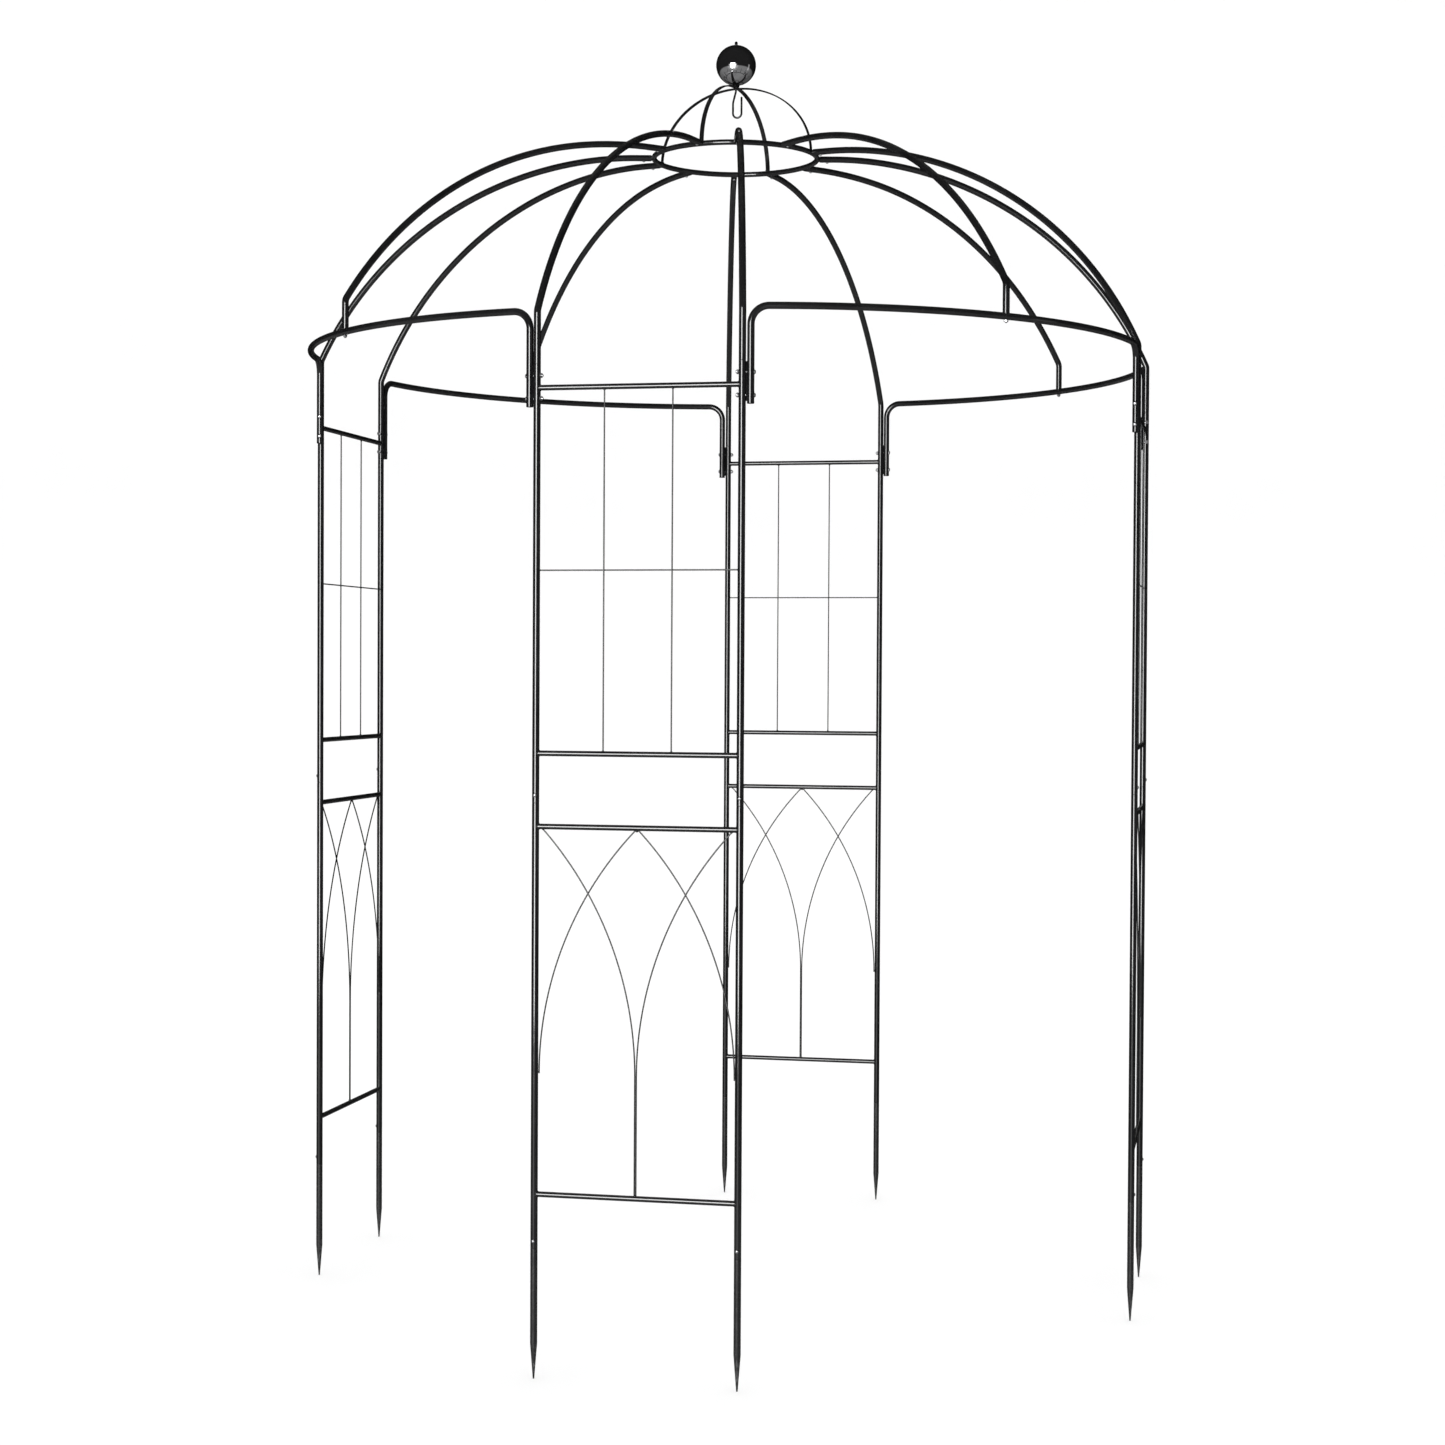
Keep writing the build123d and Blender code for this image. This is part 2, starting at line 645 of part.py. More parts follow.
with BuildPart() as ball:
    inner_r = BALL_R - BALL_WALL
    outer_low = (BALL_BOTTOM_HOLE_R, BALL_CENTRE_Z - sphere_height(BALL_R, BALL_BOTTOM_HOLE_R))
    outer_high = (BALL_TOP_HOLE_R, BALL_CENTRE_Z + sphere_height(BALL_R, BALL_TOP_HOLE_R))
    inner_low = (BALL_BOTTOM_HOLE_R, BALL_CENTRE_Z - sphere_height(inner_r, BALL_BOTTOM_HOLE_R))
    inner_high = (BALL_TOP_HOLE_R, BALL_CENTRE_Z + sphere_height(inner_r, BALL_TOP_HOLE_R))
    with BuildSketch(Plane.XZ):
        with BuildLine():
            ThreePointArc(outer_low, (BALL_R, BALL_CENTRE_Z), outer_high)
            Line(outer_high, inner_high)
            ThreePointArc(inner_high, (inner_r, BALL_CENTRE_Z), inner_low)
            Line(inner_low, outer_low)
        make_face()
    revolve(axis=Axis.Z)
export(ball.part, "gazing_ball")

with BuildPart() as knob:
    with BuildSketch(Plane.XZ):
        with BuildLine():
            Polyline(
                (0, KNOB_TOP_Z),
                (0, ball_top - 7),
                (BALL_TOP_HOLE_R - 0.1, ball_top - 7),
                (BALL_TOP_HOLE_R - 0.1, ball_top),
                (3.5, ball_top),
                (3.5, KNOB_TOP_Z - 3.5),
            )
            RadiusArc((3.5, KNOB_TOP_Z - 3.5), (0, KNOB_TOP_Z), -3.5)
        make_face()
    revolve(axis=Axis.Z)
export(knob.part, "ball_knob")

# hook: the shank steps aside below the hub so that the bowl hangs under the axis
with BuildPart() as hook:
    bowl_z = HOOK_BOTTOM_Z + HOOK_WIRE_R + HOOK_BOWL_R
    bowl_far_x = HOOK_SHANK_X + 2 * HOOK_BOWL_R
    with BuildLine(Plane.XZ) as hook_path:
        shank = FilletPolyline(
            (0, ball_bottom + 9),
            (0, 2687.0),
            (HOOK_SHANK_X, 2662.0),
            (HOOK_SHANK_X, bowl_z),
            radius=30,
        )
        ThreePointArc(
            (HOOK_SHANK_X, bowl_z),
            (HOOK_SHANK_X + HOOK_BOWL_R, bowl_z - HOOK_BOWL_R),
            (bowl_far_x, bowl_z),
        )
        Line((bowl_far_x, bowl_z), (bowl_far_x, HOOK_TIP_Z))
    sweep_round(hook_path, HOOK_WIRE_R)
export(hook.part, "hanging_hook")
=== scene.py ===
import math

import bmesh
import bpy
from mathutils import Matrix, Vector, noise

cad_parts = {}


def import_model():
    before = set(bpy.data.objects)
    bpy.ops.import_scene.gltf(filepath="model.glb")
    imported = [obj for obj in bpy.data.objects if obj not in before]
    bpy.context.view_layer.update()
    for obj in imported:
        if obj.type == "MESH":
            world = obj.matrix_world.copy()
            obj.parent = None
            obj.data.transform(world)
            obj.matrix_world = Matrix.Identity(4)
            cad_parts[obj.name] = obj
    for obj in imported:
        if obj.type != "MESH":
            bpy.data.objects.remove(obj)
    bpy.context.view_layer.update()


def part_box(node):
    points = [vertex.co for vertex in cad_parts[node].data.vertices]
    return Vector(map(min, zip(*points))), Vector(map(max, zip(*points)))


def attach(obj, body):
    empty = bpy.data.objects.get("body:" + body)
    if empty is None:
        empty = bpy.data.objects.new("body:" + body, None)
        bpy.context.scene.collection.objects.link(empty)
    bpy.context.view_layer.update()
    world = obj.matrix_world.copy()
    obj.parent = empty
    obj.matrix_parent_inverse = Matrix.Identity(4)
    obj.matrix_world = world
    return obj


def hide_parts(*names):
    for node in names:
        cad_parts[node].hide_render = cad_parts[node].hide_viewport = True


# Domed garden pavilion of glossy black steel tube, dressed over its CAD frame.  Metres.
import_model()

# ---------------------------------------------------------------- sizes
TUBE_R = 0.0070
BORE_R = 0.0058
PLUG_R = 0.0057
PLUG_LENGTH = 0.032
RUNG_R = 0.0055
WIRE_R = 0.0015
HOOK_WIRE_R = 0.00225
CLEARANCE = 0.00005
LIP = 0.0005  # rounding of a cut tube end
TUBE_SIDES = 32
WIRE_SIDES = 14

foot_low, foot_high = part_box("ground_stake_front_r")
PANEL_HALF = (foot_low.x + foot_high.x) / 2
PANEL_OFFSET = -(foot_low.y + foot_high.y) / 2
POST_CIRCLE_R = math.hypot(PANEL_HALF, PANEL_OFFSET)

STAKE_TIP_R = 0.0015
STAKE_TIP_SOFT = 0.0004
STAKE_TAPER_TOP = 0.069
STAKE_SEAM = foot_high.z - PLUG_LENGTH
MIDDLE_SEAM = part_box("upper_trellis_frame_front")[0].z
RIB_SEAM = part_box("upper_trellis_frame_front")[1].z
SCREW_ABOVE_SEAM = 0.015

BOTTOM_RUNG_Z = 0.3607
WIRE_BEND_Z = 0.5960
THIRD_RUNG_Z = 1.0760
SECOND_RUNG_Z = 1.2178
CROSS_WIRE_Z = 1.5717
TOP_RUNG_Z = 1.9238
WIRE_MEETING = 0.0023

ARCH_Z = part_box("door_arch_front_right")[1].z - TUBE_R
ARCH_BULGE_R = 0.9600
ARCH_BEND_R = 0.0350
LEG_END_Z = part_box("door_arch_front_right")[0].z
LEG_GAP = 0.0020
LEG_STEP = 2 * TUBE_R + LEG_GAP
LEG_BOLT_HEIGHTS = (1.9030, 1.9470)
SPACER_BOTTOM_Z, SPACER_TOP_Z = (corner.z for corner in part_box("arch_leg_spacers"))

KINK_Z = 2.0730
KINK_ANGLE = 24.6
MIDDLE_KINK_Z = 2.1390
MIDDLE_KINK_ANGLE = 32.1
KINK_BEND_R = 0.0220
CROWN_TURN = 9.7
CROWN_TUBE_R = 0.0060
CROWN_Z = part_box("crown_ring")[1].z - CROWN_TUBE_R
CROWN_R = 0.1840
SPIGOT_LENGTH = 0.0340
RIB_END_R = CROWN_R + CROWN_TUBE_R + 0.0001
RIB_STRAIGHT_R = RIB_END_R + SPIGOT_LENGTH + 0.0020

HOOP_WIDTH = 0.0100
HOOP_THICKNESS = 0.0030
HOOP_ANGLES = (-12.5, 77.5)
HOOP_APEX_Z = [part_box(f"crown_hoop_{n}")[1].z - HOOP_THICKNESS / 2 for n in (1, 2)]

BALL_R = 0.0450
BALL_CENTRE_Z = 2.7460
BALL_FOOT_R = 0.0060
BALL_TOP_EDGE = 0.058  # where the shell stops under the knob, in radians from the axis
KNOB_R = 0.0035
COLLAR_R = 0.0080
SHANK_HOLE_R = 0.0024

HOOK_BEND_R = 0.0300
HOOK_STEP_TOP = 2.6870
HOOK_STEP_BOTTOM = 2.6620
HOOK_TIP_Z = 2.6750

PANELS = {"front": 0, "right": 90, "back": 180, "left": 270}
DOORWAYS = {"front_right": -45, "back_right": 45, "back_left": 135, "front_left": 225}
SIDES = {"l": -1, "r": 1}
X_AXIS, Y_AXIS, DOWN = Vector((1, 0, 0)), Vector((0, 1, 0)), Vector((0, 0, -1))


# ---------------------------------------------------------------- places
def turned(x, y, z, angle):
    return Matrix.Rotation(math.radians(angle), 3, "Z") @ Vector((x, y, z))


def post_point(angle, side, z):
    return turned(side * PANEL_HALF, -PANEL_OFFSET, z, angle)


def post_outward(angle, side):
    return post_point(angle, side, 0).normalized()


def post_to_leg(angle, side):
    outward = post_outward(angle, side)
    return Vector((-side * outward.y, side * outward.x, 0))


def panel_normal(angle):
    return turned(0, -1, 0, angle)


def panel_point(angle, x, z, depth=0.0):
    """A point of a panel's plane; depth moves it out of the pavilion."""
    return turned(x, -PANEL_OFFSET - depth, z, angle)


def all_posts():
    return [
        (f"{panel}_{hand}", angle, side)
        for panel, angle in PANELS.items()
        for hand, side in SIDES.items()
    ]


# ---------------------------------------------------------------- camera
CAMERA_AT = (1.1619, -5.6739, 1.3793)
CAMERA_YAW = 11.800  # degrees to the left of +Y
CAMERA_PITCH = -1.1615
CAMERA_ROLL = 0.2991
CAMERA_LENS = 63.575
CAMERA_SENSOR = 36.0
CAMERA_REACH = 200.0


def make_camera():
    data = bpy.data.cameras.new("camera")
    data.lens = CAMERA_LENS
    data.sensor_width = CAMERA_SENSOR
    data.clip_end = CAMERA_REACH
    camera = bpy.data.objects.new("camera", data)
    bpy.context.scene.collection.objects.link(camera)
    turn = Matrix.Rotation(math.radians(CAMERA_YAW), 4, "Z")
    tilt = Matrix.Rotation(math.radians(90 + CAMERA_PITCH), 4, "X")
    roll = Matrix.Rotation(math.radians(CAMERA_ROLL), 4, "Z")
    camera.matrix_world = Matrix.Translation(CAMERA_AT) @ turn @ tilt @ roll
    bpy.context.scene.camera = camera
    bpy.context.scene.view_settings.view_transform = "Standard"


make_camera()


# ---------------------------------------------------------------- materials
class Nodes:
    """Short names for building a material's node tree."""

    def __init__(self, name):
        self.material = bpy.data.materials.new(name)
        self.material.use_nodes = True
        self.tree = self.material.node_tree
        self.shader = self.tree.nodes["Principled BSDF"]
        self.place = self.tree.nodes.new("ShaderNodeTexCoord").outputs["Object"]

    def link(self, source, target):
        self.tree.links.new(source, target)

    def noise(self, scale, detail=3.0, roughness=0.55, stretch=None):
        node = self.tree.nodes.new("ShaderNodeTexNoise")
        node.inputs["Scale"].default_value = scale
        node.inputs["Detail"].default_value = detail
        node.inputs["Roughness"].default_value = roughness
        source = self.place
        if stretch:
            mapping = self.tree.nodes.new("ShaderNodeMapping")
            mapping.inputs["Scale"].default_value = stretch
            self.link(self.place, mapping.inputs["Vector"])
            source = mapping.outputs["Vector"]
        self.link(source, node.inputs["Vector"])
        return node.outputs["Fac"]

    def ramp(self, value, low, high, start=0.3, end=0.7):
        node = self.tree.nodes.new("ShaderNodeMapRange")
        node.inputs["From Min"].default_value = start
        node.inputs["From Max"].default_value = end
        node.inputs["To Min"].default_value = low
        node.inputs["To Max"].default_value = high
        self.link(value, node.inputs["Value"])
        return node.outputs["Result"]

    def times(self, a, b):
        node = self.tree.nodes.new("ShaderNodeMath")
        node.operation = "MULTIPLY"
        self.link(a, node.inputs[0])
        self.link(b, node.inputs[1])
        return node.outputs["Value"]

    def upward(self):
        geometry = self.tree.nodes.new("ShaderNodeNewGeometry")
        split = self.tree.nodes.new("ShaderNodeSeparateXYZ")
        self.link(geometry.outputs["Normal"], split.inputs["Vector"])
        return split.outputs["Z"]

    def height(self):
        split = self.tree.nodes.new("ShaderNodeSeparateXYZ")
        self.link(self.place, split.inputs["Vector"])
        return split.outputs["Z"]

    def mix(self, factor, a, b):
        node = self.tree.nodes.new("ShaderNodeMix")
        node.data_type = "RGBA"
        self.link(factor, node.inputs["Factor"])
        for socket, value in (("A", a), ("B", b)):
            target = [i for i in node.inputs if i.name == socket and i.type == "RGBA"][0]
            if isinstance(value, tuple):
                target.default_value = (*value, 1.0)
            else:
                self.link(value, target)
        return [o for o in node.outputs if o.type == "RGBA"][0]

    def bump(self, *layers):
        """Stacks (height, strength, depth) layers of relief on the shader's normal."""
        normal = None
        for height, strength, depth in layers:
            node = self.tree.nodes.new("ShaderNodeBump")
            node.inputs["Strength"].default_value = strength
            node.inputs["Distance"].default_value = depth
            self.link(height, node.inputs["Height"])
            if normal:
                self.link(normal, node.inputs["Normal"])
            normal = node.outputs["Normal"]
        self.link(normal, self.shader.inputs["Normal"])

    def set(self, **values):
        for key, value in values.items():
            self.shader.inputs[key.replace("_", " ")].default_value = value


def powder_coat(name, dark, light, rough):
    """Glossy powder coat: orange peel, faint mottling, and dust where it faces up."""
    n = Nodes(name)
    mottle = n.ramp(n.noise(9.0, 4.0), 0.0, 1.0)
    colour = n.mix(mottle, dark, light)
    dust = n.times(n.ramp(n.upward(), 0.0, 0.16, 0.55, 1.0), n.ramp(n.noise(38.0, 5.0), 0.2, 1.0))
    dusty = n.mix(dust, colour, (0.16, 0.155, 0.145))
    n.link(dusty, n.shader.inputs["Base Color"])
    n.link(n.ramp(n.noise(55.0, 4.0), rough[0], rough[1]), n.shader.inputs["Roughness"])
    n.bump((n.noise(420.0, 2.0), 0.05, 0.0004), (n.noise(1500.0, 2.0), 0.03, 0.0002))
    n.set(Metallic=0.0, IOR=1.5)
    return n.material


def stake_coat():
    """Satin coat of the stakes, scuffed grey towards the tips."""
    n = Nodes("stake_coat")
    mottle = n.ramp(n.noise(14.0, 4.0), 0.0, 1.0)
    colour = n.mix(mottle, (0.004, 0.004, 0.0043), (0.008, 0.008, 0.0083))
    streaks = n.ramp(n.noise(60.0, 5.0, 0.6, (9.0, 9.0, 1.0)), 0.0, 1.0, 0.5, 0.72)
    scuffs = n.times(n.ramp(n.height(), 0.6, 0.0, 0.0, 0.09), streaks)
    n.link(n.mix(scuffs, colour, (0.20, 0.20, 0.205)), n.shader.inputs["Base Color"])
    n.link(n.ramp(n.noise(70.0, 4.0), 0.20, 0.32), n.shader.inputs["Roughness"])
    n.bump((n.noise(420.0, 2.0), 0.10, 0.0004), (streaks, 0.12, 0.0002))
    n.set(Metallic=0.0, IOR=1.5)
    return n.material


def zinc():
    """Bright zinc plate with a cloudy, slightly grained finish."""
    n = Nodes("zinc_fastener")
    cloud = n.ramp(n.noise(220.0, 4.0), 0.0, 1.0)
    n.link(n.mix(cloud, (0.30, 0.30, 0.31), (0.52, 0.52, 0.53)), n.shader.inputs["Base Color"])
    n.link(n.ramp(n.noise(500.0, 3.0), 0.24, 0.42), n.shader.inputs["Roughness"])
    n.bump((n.noise(1800.0, 3.0), 0.10, 0.0001))
    n.set(Metallic=1.0)
    return n.material


def black_mirror():
    """Polished black chrome: a mirror with faint haze and spinning marks."""
    n = Nodes("black_mirror")
    haze = n.ramp(n.noise(30.0, 5.0), 0.0, 1.0)
    n.link(n.mix(haze, (0.46, 0.46, 0.47), (0.54, 0.54, 0.55)), n.shader.inputs["Base Color"])
    n.link(n.ramp(n.noise(90.0, 5.0), 0.02, 0.07), n.shader.inputs["Roughness"])
    rings = n.noise(40.0, 3.0, 0.6, (1.0, 1.0, 30.0))
    n.bump((rings, 0.02, 0.0001), (n.noise(60.0, 3.0), 0.03, 0.0004))
    n.set(Metallic=1.0)
    return n.material


POWDER = powder_coat("powder_coat", (0.003, 0.003, 0.0033), (0.007, 0.007, 0.0073), (0.06, 0.12))
WIRE = powder_coat("wire_coat", (0.004, 0.004, 0.0043), (0.009, 0.009, 0.0093), (0.14, 0.24))
STAKE = stake_coat()
ZINC = zinc()
MIRROR = black_mirror()
FINISHES = {
    "powder_coat": POWDER,
    "wire_coat": WIRE,
    "stake_coat": STAKE,
    "zinc_fastener": ZINC,
    "black_mirror": MIRROR,
}


# ---------------------------------------------------------------- mesh tools
class Mesh:
    """Gathers the faces of one piece and turns them into an object."""

    def __init__(self):
        self.bm = bmesh.new()

    def rings(self, rings, closed=False, cap_start=True, cap_end=True):
        """Skins a list of loops that all have the same number of points."""
        loops = [[self.bm.verts.new(p) for p in ring] for ring in rings]
        count = len(loops[0])
        pairs = list(zip(loops, loops[1:]))
        if closed:
            pairs.append((loops[-1], loops[0]))
        for low, high in pairs:
            for i in range(count):
                j = (i + 1) % count
                self.bm.faces.new((low[i], low[j], high[j], high[i]))
        if not closed and cap_start:
            self.bm.faces.new(reversed(loops[0]))
        if not closed and cap_end:
            self.bm.faces.new(loops[-1])

    def add(self, other, matrix):
        """Adds a copy of another gathered mesh, placed by matrix."""
        copies = {v: self.bm.verts.new(matrix @ v.co) for v in other.bm.verts}
        for face in other.bm.faces:
            self.bm.faces.new([copies[v] for v in face.verts])

    def finish(self, name, body, slot, replaces=(), sharp=40):
        bmesh.ops.recalc_face_normals(self.bm, faces=self.bm.faces)
        data = bpy.data.meshes.new(name)
        self.bm.to_mesh(data)
        self.bm.free()
        data.polygons.foreach_set("use_smooth", [True] * len(data.polygons))
        data.set_sharp_from_angle(angle=math.radians(sharp))
        data.materials.append(FINISHES[slot])
        piece = bpy.data.objects.new(name, data)
        bpy.context.scene.collection.objects.link(piece)
        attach(piece, body)
        if replaces:
            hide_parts(*replaces)


def across(direction, hint=None):
    """A unit vector square to direction, near hint if one is given."""
    hint = hint or (Vector((0, 0, 1)) if abs(direction.z) < 0.9 else Vector((1, 0, 0)))
    return (hint - direction * hint.dot(direction)).normalized()


def transport(path, closed=False):
    """Point, tangent and two square directions at each point of a path, without twist."""
    count = len(path)
    frames = []
    side = None
    for i, point in enumerate(path):
        before = path[i - 1] if i or closed else path[i]
        after = path[(i + 1) % count] if i < count - 1 or closed else path[i]
        tangent = (after - before).normalized()
        side = across(tangent, side)
        frames.append((point, tangent, side, tangent.cross(side)))
    return frames


def circle(centre, a, b, radius, sides):
    step = 2 * math.pi / sides
    return [
        centre + (a * math.cos(i * step) + b * math.sin(i * step)) * radius for i in range(sides)
    ]


def bar(mesh, path, radius, sides=TUBE_SIDES, soft=0.0003):
    """Round bar along path, its ends softened."""
    frames = transport(path)
    rings = []
    start, tangent, a, b = frames[0]
    rings.append(circle(start, a, b, radius - soft, sides))
    rings.append(circle(start + tangent * soft, a, b, radius, sides))
    for point, tangent, a, b in frames[1:-1]:
        rings.append(circle(point, a, b, radius, sides))
    end, tangent, a, b = frames[-1]
    rings.append(circle(end - tangent * soft, a, b, radius, sides))
    rings.append(circle(end, a, b, radius - soft, sides))
    mesh.rings(rings)


def open_tube(mesh, path, radius=TUBE_R, bore=BORE_R, depth=0.03):
    """Tube along path whose cut ends show the wall and the bore."""
    frames = transport(path)
    rings = []

    def end_rings(point, inward, a, b):
        steps = ((depth, bore), (LIP / 2, bore), (0, bore + LIP / 2), (0, radius - LIP), (LIP, radius))
        return [circle(point + inward * s, a, b, r, TUBE_SIDES) for s, r in steps]

    point, tangent, a, b = frames[0]
    rings += end_rings(point, tangent, a, b)
    for point, tangent, a, b in frames[1:-1]:
        rings.append(circle(point, a, b, radius, TUBE_SIDES))
    point, tangent, a, b = frames[-1]
    rings += list(reversed(end_rings(point, -tangent, a, b)))
    mesh.rings(rings)


def lathe(mesh, outline, origin=Vector((0, 0, 0)), axis=Vector((0, 0, 1)), sides=TUBE_SIDES):
    """Turns an (r, h) outline about axis through origin."""
    a = across(axis)
    b = axis.cross(a)
    rings = [circle(origin + axis * h, a, b, max(r, 0.00001), sides) for r, h in outline]
    mesh.rings(rings)


def straight(start, end, count=2):
    return [start.lerp(end, i / (count - 1)) for i in range(count)]


# ---------------------------------------------------------------- welds
def weld_ring(mesh, post_axis_point, direction):
    """Rippled bead where a rung meets a post, following the curve of the joint."""
    bead_r = 0.0011
    loop = []
    steps = 44
    up = Vector((0, 0, 1))
    side = direction.cross(up)
    for i in range(steps):
        turn = 2 * math.pi * i / steps
        off = RUNG_R * math.cos(turn)
        reach = math.sqrt(TUBE_R**2 - off**2)
        loop.append(post_axis_point + side * off + up * (RUNG_R * math.sin(turn)) + direction * reach)
    rings = []
    for i, (point, _, a, b) in enumerate(transport(loop, closed=True)):
        ripple = 1 + 0.16 * math.sin(i * 2 * math.pi * 11 / steps) + 0.10 * noise.noise(point * 900)
        rings.append(circle(point, a, b, bead_r * ripple, 8))
    mesh.rings(rings, closed=True)


def weld_blob(mesh, centre, size):
    """Small flattened lump of weld."""
    rows = 7
    rings = []
    for i in range(rows):
        polar = math.pi * (i + 0.35) / (rows - 0.3)
        z = centre.z + size * 0.8 * math.cos(polar)
        r = size * math.sin(polar)
        ring = []
        for k in range(12):
            turn = 2 * math.pi * k / 12
            point = Vector((centre.x + r * math.cos(turn), centre.y + r * math.sin(turn), z))
            lump = 1 + 0.25 * noise.noise(point * 1200)
            ring.append(centre + (point - centre) * lump)
        rings.append(ring)
    mesh.rings(rings)


# ---------------------------------------------------------------- posts and panels
def post_outline(bottom, seam):
    """Outline of a post tube: rounded lower lip, upper shoulder and reduced end."""
    top = seam - 2 * CLEARANCE
    return [
        (BORE_R, bottom + 0.02),
        (BORE_R, bottom + LIP / 2),
        (BORE_R + LIP / 2, bottom),
        (TUBE_R - LIP, bottom),
        (TUBE_R, bottom + LIP),
        (TUBE_R, top - LIP),
        (TUBE_R - LIP, top),
        (PLUG_R, top),
        (PLUG_R, top + PLUG_LENGTH - 0.001),
        (PLUG_R - LIP, top + PLUG_LENGTH),
    ]


def stakes():
    for name, angle, side in all_posts():
        top = STAKE_SEAM - 2 * CLEARANCE
        outline = [
            (STAKE_TIP_R - STAKE_TIP_SOFT, 0.0),
            (STAKE_TIP_R, STAKE_TIP_SOFT),
            (TUBE_R - 0.0003, STAKE_TAPER_TOP - 0.003),
            (TUBE_R, STAKE_TAPER_TOP + 0.001),
            (TUBE_R, top - LIP),
            (TUBE_R - LIP, top),
            (PLUG_R, top),
            (PLUG_R, top + PLUG_LENGTH - 0.001),
            (PLUG_R - LIP, top + PLUG_LENGTH),
        ]
        mesh = Mesh()
        lathe(mesh, outline, post_point(angle, side, 0), sides=TUBE_SIDES)
        node = f"ground_stake_{name}"
        mesh.finish(f"{node}_tube", "frame", "stake_coat", (node,))


def rung(mesh, welds, angle, z):
    """Rung whose ends sink into both posts, with a bead of weld round each end."""
    start = post_point(angle, -1, z)
    end = post_point(angle, 1, z)
    direction = (end - start).normalized()
    reach = TUBE_R * 0.8
    bar(mesh, straight(start + direction * reach, end - direction * reach, 6), RUNG_R, 28)
    weld_ring(welds, start, direction)
    weld_ring(welds, end, -direction)


def lower_frames():
    for panel, angle in PANELS.items():
        mesh, welds = Mesh(), Mesh()
        for side in SIDES.values():
            lathe(mesh, post_outline(STAKE_SEAM, MIDDLE_SEAM), post_point(angle, side, 0))
        for z in (BOTTOM_RUNG_Z, THIRD_RUNG_Z):
            rung(mesh, welds, angle, z)
        node = f"lower_trellis_frame_{panel}"
        mesh.finish(f"{node}_tubes", "frame", "powder_coat", (node,))
        welds.finish(f"{node}_welds", "frame", "powder_coat", sharp=60)


def upper_frames():
    for panel, angle in PANELS.items():
        mesh, welds = Mesh(), Mesh()
        outline = [
            (BORE_R, MIDDLE_SEAM + 0.02),
            (BORE_R, MIDDLE_SEAM + LIP / 2),
            (BORE_R + LIP / 2, MIDDLE_SEAM),
            (TUBE_R - LIP, MIDDLE_SEAM),
            (TUBE_R, MIDDLE_SEAM + LIP),
            (TUBE_R, RIB_SEAM - LIP),
            (TUBE_R - LIP, RIB_SEAM),
            (BORE_R + LIP / 2, RIB_SEAM),
            (BORE_R, RIB_SEAM - LIP / 2),
            (BORE_R, RIB_SEAM - 0.02),
        ]
        for side in SIDES.values():
            lathe(mesh, outline, post_point(angle, side, 0))
        for z in (SECOND_RUNG_Z, TOP_RUNG_Z):
            rung(mesh, welds, angle, z)
        node = f"upper_trellis_frame_{panel}"
        mesh.finish(f"{node}_tubes", "frame", "powder_coat", (node,))
        welds.finish(f"{node}_welds", "frame", "powder_coat", sharp=60)


def arc_up(x_start, z_start, x_end, z_end, count=48):
    """Points of the arc that leaves its start straight up and passes through its end."""
    reach, rise = x_end - x_start, z_end - z_start
    radius = (reach**2 + rise**2) / (2 * abs(reach))
    sweep = math.asin(rise / radius)
    sign = math.copysign(1, reach)
    points = []
    for i in range(count):
        turn = sweep * i / (count - 1)
        x = x_start + sign * radius * (1 - math.cos(turn))
        points.append((x, z_start + radius * math.sin(turn)))
    return points


def lower_wires():
    beside = WIRE_R + CLEARANCE
    at_post = PANEL_HALF - TUBE_R - beside
    top = THIRD_RUNG_Z - RUNG_R + WIRE_R
    bottom = BOTTOM_RUNG_Z + RUNG_R - WIRE_R
    end_tack, post_tack, foot_tack, meeting_tack = 0.0023, 0.0021, 0.0030, 0.0034
    for panel, angle in PANELS.items():
        mesh, welds = Mesh(), Mesh()
        for side in SIDES.values():
            middle = [(side * beside, bottom), (side * beside, 0.45), (side * beside, 0.53)]
            middle += arc_up(side * beside, WIRE_BEND_Z, side * (at_post - 0.006), top)
            bar(mesh, [panel_point(angle, x, z, beside) for x, z in middle], WIRE_R, WIRE_SIDES)
            post = arc_up(side * at_post, WIRE_BEND_Z, side * WIRE_MEETING, top)
            bar(mesh, [panel_point(angle, x, z, -beside) for x, z in post], WIRE_R, WIRE_SIDES)
            wire_end = panel_point(angle, side * (at_post - 0.0075), top - WIRE_R, beside)
            weld_blob(welds, wire_end, end_tack)
            post_foot = panel_point(angle, side * (at_post + 0.001), WIRE_BEND_Z + 0.003, -beside)
            weld_blob(welds, post_foot, post_tack)
        weld_blob(welds, panel_point(angle, 0, bottom + WIRE_R, beside), foot_tack)
        weld_blob(welds, panel_point(angle, 0, top - WIRE_R, -beside), meeting_tack)
        node = f"lower_trellis_wires_{panel}"
        mesh.finish(f"{node}_bars", "frame", "wire_coat", (node,))
        welds.finish(f"{node}_welds", "frame", "wire_coat", sharp=60)


